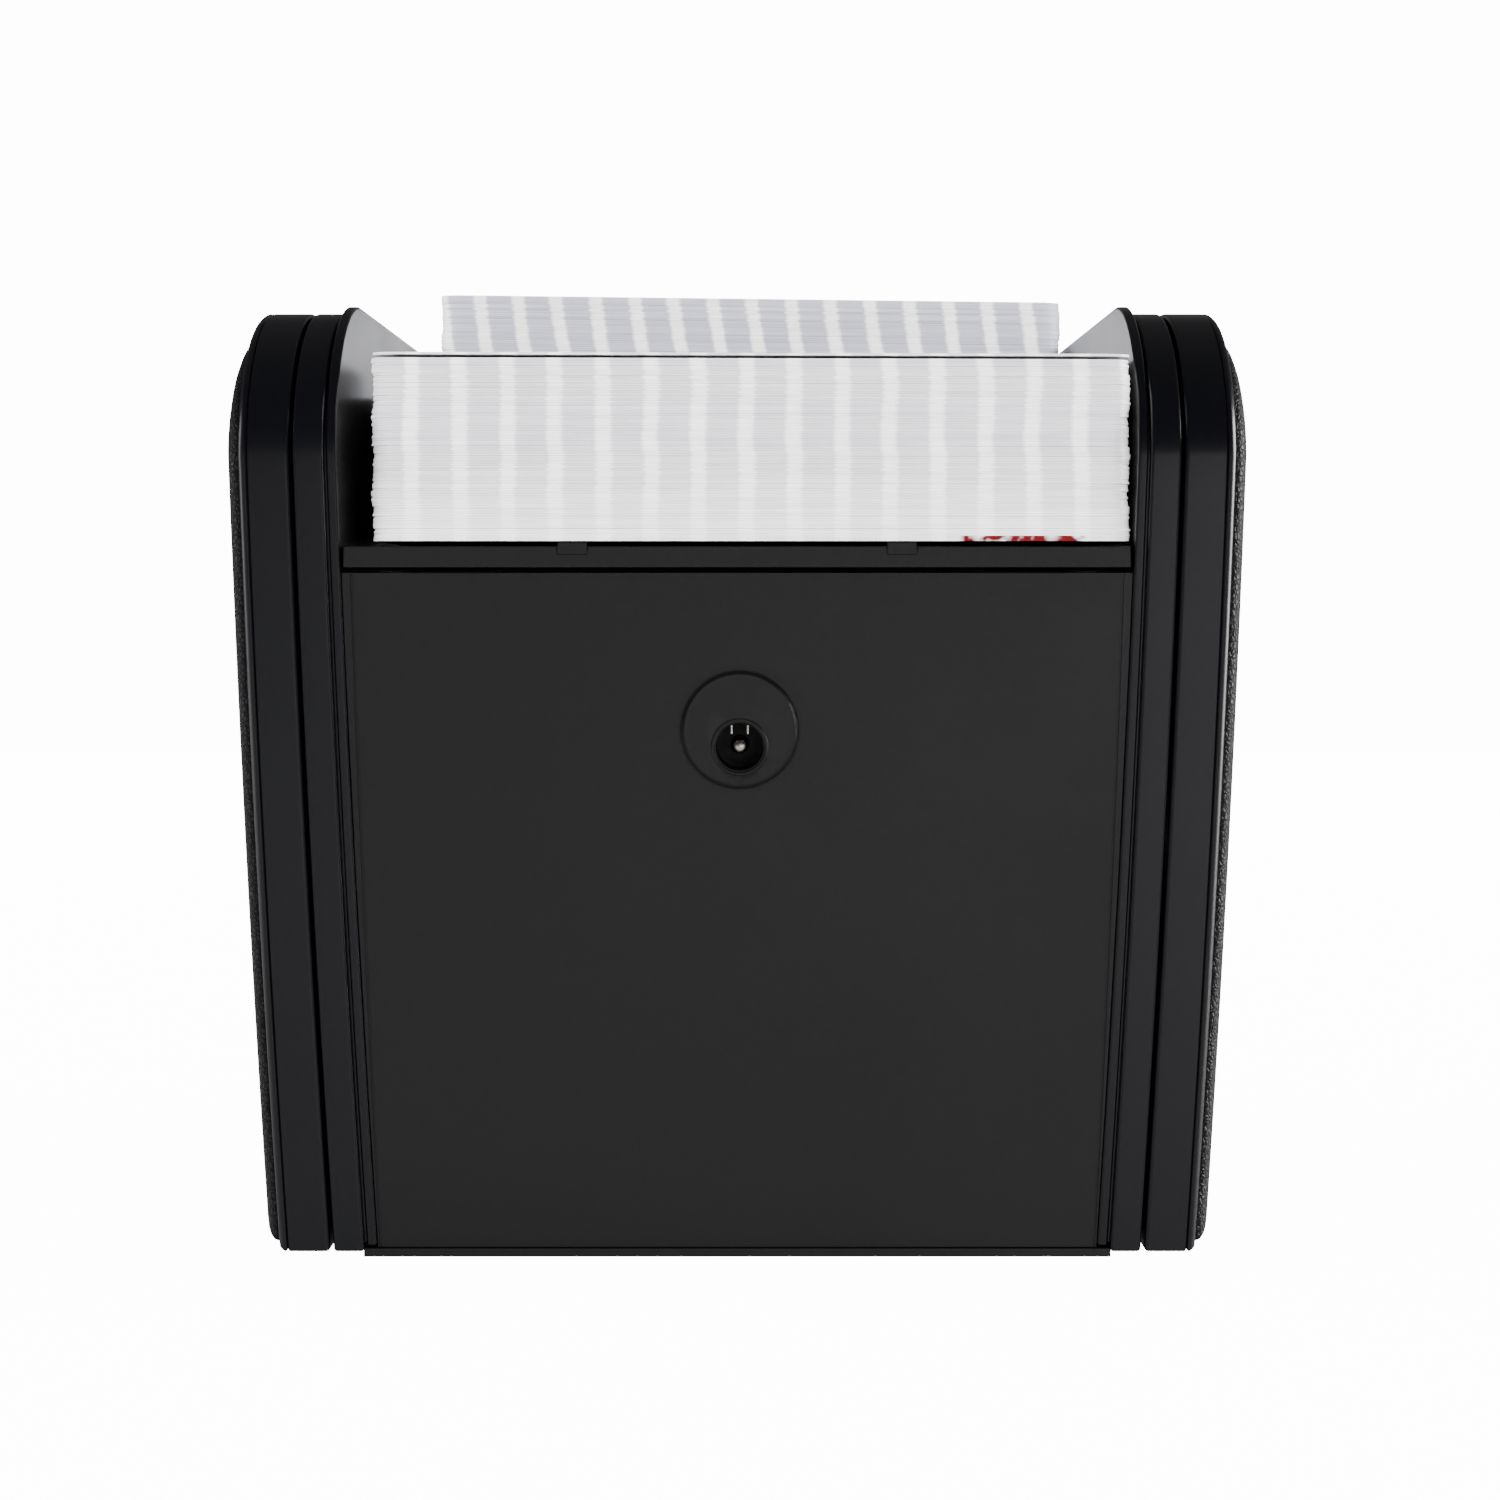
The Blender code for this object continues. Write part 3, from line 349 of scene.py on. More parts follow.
finishes = {
    "housing": makeMouldedAbs(),
    "trim": makePolishedAbs(),
    "leatherette": makeLeatherette(),
    "cards_near": makeCardStock("coated_card_near", -0.313, 0.0, cardLook["print"], True),
    # the far pack uses the darker deep print colour: painted shade, the same card stock as the near pack shaded
    # down
    "cards_far": makeCardStock("coated_card_far_painted_shade", 0.12, 0.16, cardLook["deep"]),
    "foot_rubber": makeRubber("nitrile_rubber_foot", "#1a1a1a"),
    "roller_rubber": makeRubber("silicone_rubber_roller", "#232325", 0.6),
    "screw_steel": makeMetal("zinc_plated_steel", "#a9abad", 0.34),
    "shaft_steel": makeMetal("ground_steel_shaft", "#b9babb", 0.22, True),
    "spring_wire": makeMetal("music_wire", "#9fa0a2", 0.28),
    "contact_metal": makeMetal("nickel_plated_brass", "#cfcac0", 0.22),
    "motor_can": makeMetal("drawn_nickel_plated_can", "#b4b5b6", 0.3, True),
    "pinion_brass": makeMetal("machined_brass", "#c79a4e", 0.28, True),
    "gear_plastic": makeResin("natural_acetal", "#e6e2d6", "#d8d3c4", 0.38),
    "board": makeResin("solder_masked_fr4", "#0f4a26", "#0b3b1f", 0.35),
    "switch_body": makeResin("glass_filled_nylon", "#202022", "#18181a", 0.5),
    "cell_jacket": makeResin("shrink_wrapped_cell", "#26407c", "#1d3263", 0.25),
}
finishes["inlet"] = finishes["housing"]
finishes["button"] = finishes["trim"]
print("materials made:", len(finishes))


# ---- small helpers for pieces


def pieceFrom(bm, name, slot, body, finish=None, smoothAngle=35.0):
    bmesh.ops.recalc_face_normals(bm, faces=bm.faces)
    bmesh.ops.scale(bm, vec=(mm,) * 3, verts=bm.verts)
    mesh = bpy.data.meshes.new(name)
    bm.to_mesh(mesh)
    bm.free()
    piece = bpy.data.objects.new(name, mesh)
    bpy.context.scene.collection.objects.link(piece)
    mesh.materials.append(finishes[finish or slot])
    mesh.shade_smooth()
    mesh.set_sharp_from_angle(angle=math.radians(smoothAngle))
    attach(piece, body)
    return piece


def evenShading(piece):  # keeps flat faces flat beside their rounded edges
    even = piece.modifiers.new("evenShading", "WEIGHTED_NORMAL")
    even.keep_sharp = True
    even.weight = 100


def softenEdges(piece, width, segments=3, angle=32.0):
    bevel = piece.modifiers.new("softenedEdges", "BEVEL")
    bevel.width = width * mm
    bevel.segments = segments
    bevel.limit_method = "ANGLE"
    bevel.angle_limit = math.radians(angle)
    bevel.harden_normals = False
    bevel.use_clamp_overlap = True


def cutWith(piece, bm, name):  # cuts a shape, in millimetres, out of a piece for good
    bmesh.ops.recalc_face_normals(bm, faces=bm.faces)
    bmesh.ops.scale(bm, vec=(mm,) * 3, verts=bm.verts)
    mesh = bpy.data.meshes.new(name)
    bm.to_mesh(mesh)
    bm.free()
    tool = bpy.data.objects.new(name, mesh)
    bpy.context.scene.collection.objects.link(tool)
    cut = piece.modifiers.new(name, "BOOLEAN")
    cut.object = tool
    cut.solver = "EXACT"
    bpy.context.view_layer.update()
    whole = piece.evaluated_get(bpy.context.evaluated_depsgraph_get())
    result = bpy.data.meshes.new_from_object(whole)
    piece.modifiers.remove(cut)
    old, piece.data = piece.data, result
    result.name = old.name
    bpy.data.meshes.remove(old)
    bpy.data.objects.remove(tool, do_unlink=True)


def blockShape(x, y, z):
    bm = bmesh.new()
    bmesh.ops.create_cube(bm, size=1.0)
    bmesh.ops.scale(bm, vec=[b - a for a, b in (x, y, z)], verts=bm.verts)
    bmesh.ops.translate(bm, vec=[(a + b) / 2 for a, b in (x, y, z)], verts=bm.verts)
    return bm


def turnTo(axis):
    return {"X": Matrix.Rotation(math.pi / 2, 3, "Y"), "Y": Matrix.Rotation(-math.pi / 2, 3, "X"),
            "Z": Matrix.Identity(3)}[axis]


def rodShape(axis, centre, length, radius, segments=48):
    bm = bmesh.new()
    bmesh.ops.create_cone(bm, cap_ends=True, segments=segments, radius1=radius, radius2=radius,
                          depth=length)
    bmesh.ops.rotate(bm, matrix=turnTo(axis), verts=bm.verts)
    bmesh.ops.translate(bm, vec=centre, verts=bm.verts)
    return bm


def spunShape(axis, centre, profile, steps=64):  # profile: (radius, height along the axis) points
    bm = bmesh.new()
    verts = [bm.verts.new((r, 0.0, h)) for r, h in profile]
    edges = [bm.edges.new(pair) for pair in zip(verts, verts[1:])]
    bmesh.ops.spin(bm, geom=verts + edges, cent=(0, 0, 0), axis=(0, 0, 1), steps=steps,
                   angle=2 * math.pi, use_merge=True)
    bmesh.ops.remove_doubles(bm, verts=bm.verts, dist=0.0005)
    bmesh.ops.rotate(bm, matrix=turnTo(axis), verts=bm.verts)
    bmesh.ops.translate(bm, vec=centre, verts=bm.verts)
    return bm


def refined(node, width):  # a CAD piece with its edges softened as a mould leaves them
    source = frame["nodes"][node]
    bm = bmesh.new()
    bm.from_mesh(source.data)
    bmesh.ops.remove_doubles(bm, verts=bm.verts, dist=0.000005)
    bmesh.ops.dissolve_limit(bm, angle_limit=math.radians(1.0), verts=bm.verts, edges=bm.edges)
    bmesh.ops.scale(bm, vec=(1 / mm,) * 3, verts=bm.verts)
    piece = pieceFrom(bm, f"{node}_look", slotOf[node], bodyOf[node])
    softenEdges(piece, width)
    evenShading(piece)
    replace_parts(piece, node)
    return piece


# ---- the arch


def lean(z):  # how far the sides draw in towards the base at a height
    drop = max(0.0, arch["leanTop"] - z)
    return arch["leanLinear"] * drop + arch["leanSquare"] * drop * drop


def archLoop(x, inset, lift=0.0, drop=0.0):
    run, rise = arch["cornerRun"] - inset, arch["cornerRise"] - inset + lift
    crown = max(0.0, arch["crownRise"] - lift)
    flat = arch["endY"] - arch["cornerRun"]
    steps = arch["cornerSteps"]
    half = [(-flat - run, arch["bottom"] + inset - drop)]
    for i in range(steps + 1):
        angle = math.pi / 2 * i / steps
        half.append((-flat - run * math.cos(angle), arch["shoulderZ"] + rise * math.sin(angle)))
    for i in range(1, arch["crownSteps"]):
        y = -flat * (1 - i / arch["crownSteps"])
        half.append((y, arch["shoulderZ"] + rise + crown * (1 - (y / flat) ** 2)))
    top = [(0.0, arch["shoulderZ"] + rise + crown)]
    return [(x, y, z) for y, z in half + top + [(-y, z) for y, z in reversed(half)]]


def loftArch(profile, side):  # profile: (x, inset, lift, drop) from the first flat face to the last
    bm = bmesh.new()
    ring = [bm.verts.new(p) for p in archLoop(*profile[0])]
    edges = [bm.edges.new((a, b)) for a, b in zip(ring, ring[1:] + ring[:1])]
    bmesh.ops.contextual_create(bm, geom=edges)
    for row in profile[1:]:
        before = set(bm.verts)
        grown = bmesh.ops.extrude_edge_only(bm, edges=edges)["geom"]
        edges = [g for g in grown if isinstance(g, bmesh.types.BMEdge)
                 and not (set(g.verts) & before)]
        following = []
        for vert, place in zip(ring, archLoop(*row)):
            copy = next(e.other_vert(vert) for e in vert.link_edges if e.other_vert(vert) not in before)
            copy.co = place
            following.append(copy)
        ring = following
    bmesh.ops.contextual_create(bm, geom=edges)
    level = arch["bottom"] + arch["leanEvery"]
    while level < arch["shoulderZ"]:
        geometry = bm.verts[:] + bm.edges[:] + bm.faces[:]
        bmesh.ops.bisect_plane(bm, geom=geometry, plane_co=(0, 0, level), plane_no=(0, 0, 1))
        level += arch["leanEvery"]
    for vert in bm.verts:
        vert.co.x = side * (vert.co.x - lean(vert.co.z))
    return bm


def quarterTurn(centre, radius, fromDegrees, toDegrees, steps=4):  # points of an arc in a profile
    points = []
    for i in range(steps + 1):
        angle = math.radians(fromDegrees + (toDegrees - fromDegrees) * i / steps)
        points.append((centre[0] + radius * math.cos(angle), centre[1] - radius * math.sin(angle)))
    return points


# ---- outer covers: a broad rim, a V groove and a bright round bead along its outer edge

coverShape = {"inside": 55.6, "rimIn": 52.4, "round": 0.5, "faceOut": 57.25, "groove": 0.3,
              "beadX": 57.9, "wallOut": 57.6, "rim": 2.5,
              "bead": ((0.0, 0.08), (0.17, 0.21), (0.33, 0.37), (0.45, 0.55), (0.5, 0.78), (0.45, 1.1))}
windowShape = {"half": 35.8, "low": 6.0, "high": 46.2, "threadGap": 2.2}
buttonHole = {"z": 76.0, "radius": 7.4}


def makeCover(side, label):
    c = coverShape
    profile = [(c["inside"], c["rim"]), (c["rimIn"], c["rim"])]
    profile += quarterTurn((c["rimIn"] + c["round"], c["round"]), c["round"], 180, 90)
    profile += [(c["faceOut"] - 0.15, 0.0), (c["faceOut"] + 0.02, 0.06), (c["faceOut"] + 0.12, c["groove"])]
    profile += [(c["faceOut"] + 0.22, 0.12), (c["faceOut"] + 0.34, 0.02), (c["faceOut"] + 0.46, 0.0)]
    profile += [(c["beadX"] + dx, depth) for dx, depth in c["bead"]]
    profile += [(c["wallOut"] + 0.3, 1.5), (c["wallOut"], 1.8), (c["wallOut"], 3.4)]
    cover = pieceFrom(loftArch(profile, side), f"side_cover_{label}_rim", "trim", "housing")
    if side > 0:
        cutSideOpenings(cover, 0.0)
    evenShading(cover)
    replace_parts(cover, f"side_cover_{label}")


def cutSideOpenings(piece, spare):
    w = windowShape
    cutWith(piece, blockShape((40, 70), (-w["half"] - spare, w["half"] + spare),
                              (w["low"] - spare, w["high"] + spare)), "drawerWindow")
    cutWith(piece, rodShape("X", (55, 0, buttonHole["z"]), 30, buttonHole["radius"] + spare, 64),
            "buttonHole")


# ---- inner shells: hopper walls with a stepped rim

shellShape = {"wallIn": 46.9, "wallOut": 48.9, "rimOut": 52.0, "rim": 2.5, "step": 0.7, "round": 0.4,
              "lift": 1.6, "edge": 0.35, "cutFrom": 38.0, "cutTo": 60.0, "holeDeep": 22.0,
              "shaftHole": 2.4}


def makeShell(side, label):
    s = shellShape
    profile = [(s["wallOut"], s["rim"]), (s["rimOut"], s["rim"])]
    profile += quarterTurn((s["rimOut"] - s["round"], s["round"]), s["round"], 0, 90)
    profile += quarterTurn((s["wallOut"] - 0.1, s["round"]), s["round"], 90, 180)
    profile += [(s["wallOut"] - 0.6, s["step"] + 0.3)]
    wall = [(s["wallOut"] - 0.75, s["step"] + 0.3), (s["wallOut"] - 0.85, s["step"] + 0.08),
            (s["wallOut"] - 0.95, s["step"])]
    wall += quarterTurn((s["wallIn"] + s["edge"], s["step"] + s["edge"]), s["edge"], 90, 180)
    wall += [(s["wallIn"], s["step"] + 2.5)]
    profile += [(x, inset, s["lift"]) for x, inset in wall]
    shell = pieceFrom(loftArch(profile, side), f"inner_shell_{label}_wall", "trim", "housing")
    w = windowShape
    reach = sorted((side * s["cutFrom"], side * s["cutTo"]))
    cutWith(shell, blockShape(reach, (-w["half"], w["half"]), (w["low"], w["high"])), "drawerWindow")
    for joint in frame["joints"]:
        if joint["name"].split("_")[0] in ("feed", "exit"):
            x, y, z = [v / mm for v in joint["pos_m"]]
            hole = rodShape("X", (side * s["wallOut"], y, z), s["holeDeep"], s["shaftHole"], 32)
            cutWith(shell, hole, "shaftHole")
    evenShading(shell)
    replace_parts(shell, f"inner_shell_{label}")


# ---- leatherette pads: thin foam under pebbled cover, with a sewn channel near the border

padShape = {"back": 57.9, "inset": 2.9, "edge": 59.0, "crown": 60.48, "channel": 8.6,
            "stitch": 2.6, "stitchGap": 1.3, "thread": 0.22, "drop": 2.0}


def makePad(side, label):
    p = padShape
    profile = [(p["back"], p["inset"] + 0.3), (p["back"] + 0.2, p["inset"])]
    profile += [(p["edge"] - 0.25, p["inset"]), (p["edge"] + 0.2, p["inset"] + 0.18),
                (p["edge"] + 0.6, p["inset"] + 0.7), (p["edge"] + 0.88, p["inset"] + 1.5),
                (p["edge"] + 1.05, p["inset"] + 2.6), (p["edge"] + 1.1, p["channel"] - 1.2),
                (p["edge"] + 0.9, p["channel"] - 0.45), (p["edge"] + 0.72, p["channel"]),
                (p["edge"] + 0.9, p["channel"] + 0.45), (p["edge"] + 1.2, p["channel"] + 1.2),
                (p["crown"] - 0.02, p["channel"] + 3.0), (p["crown"], p["channel"] + 5.5)]
    profile = [(x, inset, 0.0, p["drop"]) for x, inset in profile]
    pad = pieceFrom(loftArch(profile, side), f"leather_pad_{label}_cover", "leatherette", "housing",
                    smoothAngle=60.0)
    if side > 0:
        cutSideOpenings(pad, 1.0)
        softenEdges(pad, 0.5, 3, 50.0)
    evenShading(pad)
    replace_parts(pad, f"leather_pad_{label}")
    sewChannel(side, label)


def inDrawerWindow(point):  # the threads stop a little short of the drawer's opening
    w = windowShape
    gap = w["threadGap"]
    return abs(point.y) < w["half"] + gap and w["low"] - gap < point.z < w["high"] + gap


def sewChannel(side, label):  # one raised thread after another along the bottom of the channel
    p = padShape
    route = [Vector(point) for point in archLoop(p["edge"] + 0.8, p["channel"], 0.0, p["drop"])]
    route.append(route[0])
    bm = bmesh.new()
    carried = 0.0
    for a, b in zip(route, route[1:]):
        way = (b - a).normalized()
        reach = (b - a).length
        while carried < reach:
            middle = a + way * carried
            carried += p["stitch"] + p["stitchGap"]
            if side > 0 and inDrawerWindow(middle):
                continue
            added = bmesh.ops.create_cube(bm, size=1.0)["verts"]
            bmesh.ops.scale(bm, vec=(p["thread"] * 1.6, p["stitch"], p["thread"] * 2), verts=added)
            around = Matrix.Rotation(math.atan2(way.z, way.y), 3, "X")
            bmesh.ops.rotate(bm, matrix=around, verts=added)
            bmesh.ops.translate(bm, vec=middle - Vector((lean(middle.z), 0, 0)), verts=added)
        carried -= reach
    for vert in bm.verts:
        vert.co.x *= side
    stitches = pieceFrom(bm, f"pad_stitches_{label}", "leatherette", "housing", smoothAngle=80.0)
    rounding = stitches.modifiers.new("roundThread", "SUBSURF")
    rounding.levels = rounding.render_levels = 1


# ---- end panels, trays, gates and the parts below


panelShape = {"fill": 0.26, "line": 45.6, "lineLean": 0.8, "cut": 0.34, "deep": 0.3, "edge": 0.15,
              "lineSteps": 9, "overrun": 3.0, "touch": 0.02}


def makePanel(end, label):  # a flat wall that fills the space between the shells, with a fine border line
    s = panelShape
    node = f"end_panel_{label}"
    panel = refined(node, s["edge"])
    low, high = boxMm(node)
    for vert in panel.data.vertices:
        sideX = 1 if vert.co.x > 0 else -1
        if abs(vert.co.x) / mm > high.x - lean(vert.co.z / mm) - s["touch"]:
            vert.co.x += sideX * s["fill"] * mm
        if vert.co.z / mm < low.z + s["touch"]:
            vert.co.z -= s["fill"] * mm
    face = low.y if end < 0 else high.y
    for side in (-1, 1):
        groove = blockShape((side * s["line"] - s["cut"] / 2, side * s["line"] + s["cut"] / 2),
                            sorted((face + end, face - end * s["deep"])),
                            (low.z - s["overrun"], high.z + s["overrun"]))
        for step in range(1, s["lineSteps"]):
            level = low.z + (high.z - low.z) * step / s["lineSteps"]
            geometry = groove.verts[:] + groove.edges[:] + groove.faces[:]
            bmesh.ops.bisect_plane(groove, geom=geometry, plane_co=(0, 0, level), plane_no=(0, 0, 1))
        for vert in groove.verts:
            vert.co.x -= side * s["lineLean"] * lean(vert.co.z)
        cutWith(panel, groove, "borderLine")


# ---- power inlet

inletShape = {"x": 0.3, "drop": 2.0, "radius": 6.9, "bore": 3.0, "lip": 0.38,
              "rise": 0.24, "thick": 1.2, "lipBack": 0.25, "bodyEdge": 0.15, "fingerApart": 0.95,
              "fingerSize": (0.3, 6.0, 1.1), "fingerY": -95.0, "fingerUp": 2.0}


def spunOutwards(centre, profile, steps):  # the profile's height runs out of the panel, towards -Y
    bm = spunShape("Z", (0, 0, 0), profile, steps)
    bmesh.ops.rotate(bm, matrix=Matrix.Rotation(math.pi / 2, 3, "X"), verts=bm.verts)
    bmesh.ops.translate(bm, vec=centre, verts=bm.verts)
    return bm


def makeInlet():
    s = inletShape
    low, high = boxMm("dc_jack_bezel")
    face, back = low.y, high.y
    centreZ = (low.z + high.z) / 2
    r, t = s["radius"], s["thick"]
    profile = [(0.0, t * 0.8), (r * 0.6, t * 0.79), (r - 0.72, t * 0.76), (r - 0.56, t * 0.78),
               (r - 0.42, t * 0.78), (r - 0.1, t * 0.52), (r, t * 0.4), (r, 0.05), (r - 0.05, 0.0),
               (0.0, 0.0)]
    bm = spunOutwards((s["x"], back, centreZ), profile, 96)
    bezel = pieceFrom(bm, "dc_jack_bezel_disc", "inlet", "housing")
    holeZ = centreZ - s["drop"]
    cutWith(bezel, rodShape("Y", (s["x"], back, holeZ), 10, s["bore"], 64), "boreHole")
    softenEdges(bezel, 0.12, 2, 50.0)
    evenShading(bezel)
    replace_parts(bezel, "dc_jack_bezel")
    inner, outer = s["bore"] - 0.02, s["bore"] + s["lip"]
    rise = s["rise"]
    loop = [(inner, 0.0), (inner, rise * 0.7), (inner + 0.1, rise), (outer - 0.14, rise),
            (outer, rise * 0.4), (outer, 0.0), (inner, 0.0)]
    lip = spunOutwards((s["x"], face + s["lipBack"], holeZ), loop, 72)
    pieceFrom(lip, "dc_jack_lip", "inlet", "housing")
    makePin(holeZ)
    makeSpringTabs(holeZ)
    refined("dc_jack_body", s["bodyEdge"])


def makePin(holeZ):
    low, high = boxMm("dc_jack_pin")
    r = (high.x - low.x) / 2
    length = high.y - low.y
    profile = [(0.0, length), (r * 0.6, length - 0.02), (r * 0.88, length - 0.14), (r, length - 0.4),
               (r, 0.1), (r - 0.1, 0.0), (0.0, 0.0)]
    bm = spunOutwards((inletShape["x"], high.y, holeZ), profile, 32)
    pin = pieceFrom(bm, "dc_jack_centre_pin", "contact_metal", "housing")
    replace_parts(pin, "dc_jack_pin")


def makeSpringTabs(holeZ):  # the two sprung fingers that grip a plug's sleeve
    s = inletShape
    bm = bmesh.new()
    for x in (-s["fingerApart"], s["fingerApart"]):
        tab = bmesh.ops.create_cube(bm, size=1.0)["verts"]
        bmesh.ops.scale(bm, vec=s["fingerSize"], verts=tab)
        place = (s["x"] + x, s["fingerY"], holeZ + s["fingerUp"])
        bmesh.ops.translate(bm, vec=place, verts=tab)
    tabs = pieceFrom(bm, "dc_jack_fingers", "contact_metal", "housing")
    softenEdges(tabs, 0.06, 2)


# ---- packs of cards

packShape = {"long": 88.9, "short": 63.5, "corner": 3.2, "card": 0.3, "gap": 0.018,
             "tilt": {"near": 0.13, "far": 0.55}, "topCardUp": {"near": 0.35, "far": 0.0},
             "sway": 0.16, "scatter": 0.09, "twist": 0.04, "trim": (0.1, 0.2)}


def makePack(label):
    p = packShape
    lifted = p["topCardUp"][label]
    trimLong, trimShort = p["trim"]
    node = f"card_stack_{label}"
    low, high = boxMm(node)
    middle = (low + high) / 2
    count = round((high.z - low.z) / p["card"])
    pitch = (high.z - low.z - lifted - p["tilt"][label]) / count
    bm = bmesh.new()
    shade = bm.faces.layers.float.new("cardShade")
    for number in range(count):
        shape = bmesh.ops.create_cube(bm, size=1.0)["verts"]
        bmesh.ops.scale(bm, vec=(p["long"] - trimLong, p["short"] - trimShort, pitch - p["gap"]),
                        verts=shape)
        corners = [e for v in shape for e in v.link_edges
                   if abs(e.verts[0].co.z - e.verts[1].co.z) > 1e-6]
        made = bmesh.ops.bevel(bm, geom=list(set(corners)), offset=p["corner"], offset_type="OFFSET",
                               segments=4, profile=0.5, affect="EDGES", material=-1)
        faces = set(made["faces"])
        for vert in shape:
            if vert.is_valid:
                faces.update(vert.link_faces)
        for face in list(faces):
            for vert in face.verts:
                faces.update(vert.link_faces)
        card = list({v for f in faces for v in f.verts})
        # a slow and a quick wave make the pack's side wander as a hand leaves it
        sway = math.sin(number * 0.23 + 0.6) * p["sway"] * 0.6
        sway += math.sin(number * 0.61) * p["sway"] * 0.4
        shiftX = sway + random.uniform(-1, 1) * p["scatter"]
        shiftY = random.uniform(-1, 1) * p["scatter"]
        turn = Matrix.Rotation(math.radians(random.uniform(-p["twist"], p["twist"])), 3, "Z")
        bmesh.ops.rotate(bm, matrix=turn, verts=card)
        extra = lifted if number == count - 1 else 0.0
        height = low.z + pitch * (number + 0.5) + extra
        slope = p["tilt"][label] * (number + 1) / count / (p["long"] / 2)
        for vert in card:
            vert.co.z -= vert.co.x * slope
        bmesh.ops.translate(bm, vec=(middle.x + shiftX, middle.y + shiftY, height), verts=card)
        tone = random.random()
        for face in faces:
            face[shade] = tone
    pack = pieceFrom(bm, f"{node}_cards", "cards", node, finish=f"cards_{label}", smoothAngle=40.0)
    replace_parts(pack, node)


# ---- rollers

rollerShape = {"bore": 2.15, "rib": 2.4, "groove": 0.45, "end": 0.5}


def makeRollers(label):
    for side in sides:
        ribbedRoller(f"feed_roller_{side}_{label}")
    ribbedRoller(f"exit_roller_{label}")


def ribbedRoller(node):
    bore, groove, end = rollerShape["bore"], rollerShape["groove"], rollerShape["end"]
    low, high = boxMm(node)
    r = (high.z - low.z) / 2
    length = high.x - low.x
    ribbed = length - 2 * end
    profile = [(bore, 0.0), (r - end, 0.0), (r - 0.1, end / 2)]
    ribs = max(3, round(length / rollerShape["rib"]))
    for i in range(ribs):
        start = end + ribbed * i / ribs
        step = ribbed / ribs
        profile += [(r, start), (r, start + step * 0.62), (r - groove, start + step * 0.72),
                    (r - groove, start + step * 0.92)]
    profile += [(r - 0.1, length - end / 2), (r - end, length), (bore, length), (bore, 0.0)]
    bm = spunShape("X", (low.x, (low.y + high.y) / 2, (low.z + high.z) / 2), profile, 48)
    roller = pieceFrom(bm, f"{node}_tyre", slotOf[node], bodyOf[node])
    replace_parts(roller, node)


# ---- turned parts, springs and cells

turnedParts = {"footEdge": 0.3, "shaftEdge": 0.3, "crossHalf": 0.4, "crossReach": 2.0, "crossDeep": 1.0,
               "shank": 1.4, "headHigh": 1.5, "buttonDish": 0.35, "collarHigh": 0.9, "cellNub": 0.5,
               "nubRadius": 2.7, "cellEdge": 0.5, "wire": 0.34, "turns": 3.0, "wireGap": 0.02,
               "collar": 1.4, "canEdge": 0.8, "capIn": 0.2, "pressedShare": 0.7}


def spunOn(node, axis, profile, steps=72, suffix="turned", finish=None):
    low, high = boxMm(node)
    centre = [(a + b) / 2 for a, b in zip(low, high)]
    centre["XYZ".index(axis)] = low["XYZ".index(axis)]
    bm = spunShape(axis, centre, profile, steps)
    return pieceFrom(bm, f"{node}_{suffix}", slotOf[node], bodyOf[node], finish)


def roundedRod(r, length, edge):
    return [(0.0, 0.0), (r - edge, 0.0), (r - edge * 0.3, edge * 0.3), (r, edge), (r, length - edge),
            (r - edge * 0.3, length - edge * 0.3), (r - edge, length), (0.0, length)]


def makeFeet():
    for number in range(1, 5):
        node = f"foot_{number}"
        low, high = boxMm(node)
        rod = roundedRod((high.x - low.x) / 2, high.z - low.z, turnedParts["footEdge"])
        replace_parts(spunOn(node, "Z", rod), node)


def makeScrews():
    t = turnedParts
    for number in range(1, 5):
        node = f"base_screw_{number}"
        low, high = boxMm(node)
        r = (high.x - low.x) / 2
        length = high.z - low.z
        profile = [(0.0, 0.0), (r * 0.6, 0.04), (r * 0.9, 0.25), (r, 0.7), (r, t["headHigh"]),
                   (t["shank"], t["headHigh"] + 0.02), (t["shank"], length - 0.4),
                   (t["shank"] - 0.4, length), (0.0, length)]
        screw = spunOn(node, "Z", profile)
        middle = (low + high) / 2
        for across, along in ((t["crossHalf"], t["crossReach"]), (t["crossReach"], t["crossHalf"])):
            slot = blockShape((middle.x - across, middle.x + across), (middle.y - along, middle.y + along),
                              (low.z - 0.5, low.z + t["crossDeep"]))
            cutWith(screw, slot, f"{node}_cross")
        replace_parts(screw, node)


def makeShafts():
    for kind in ("feed", "exit"):
        for label in ends:
            node = f"{kind}_shaft_{label}"
            low, high = boxMm(node)
            rod = roundedRod((high.z - low.z) / 2, high.x - low.x, turnedParts["shaftEdge"])
            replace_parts(spunOn(node, "X", rod), node)


def makeButton():
    t = turnedParts
    low, high = boxMm("start_button")
    collar = (high.z - low.z) / 2
    r = collar - t["collar"]
    length = high.x - low.x
    profile = [(0.0, 0.0), (collar - 0.2, 0.0), (collar, 0.2), (collar, t["collarHigh"] - 0.2),
               (collar - 0.2, t["collarHigh"]), (r, t["collarHigh"]), (r, length - 0.6),
               (r - 0.18, length - 0.18), (r - 0.6, length), (r - 1.2, length - 0.05),
               (r * 0.5, length - t["buttonDish"] * 0.8), (0.0, length - t["buttonDish"])]
    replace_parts(spunOn("start_button", "X", profile, steps=96), "start_button")


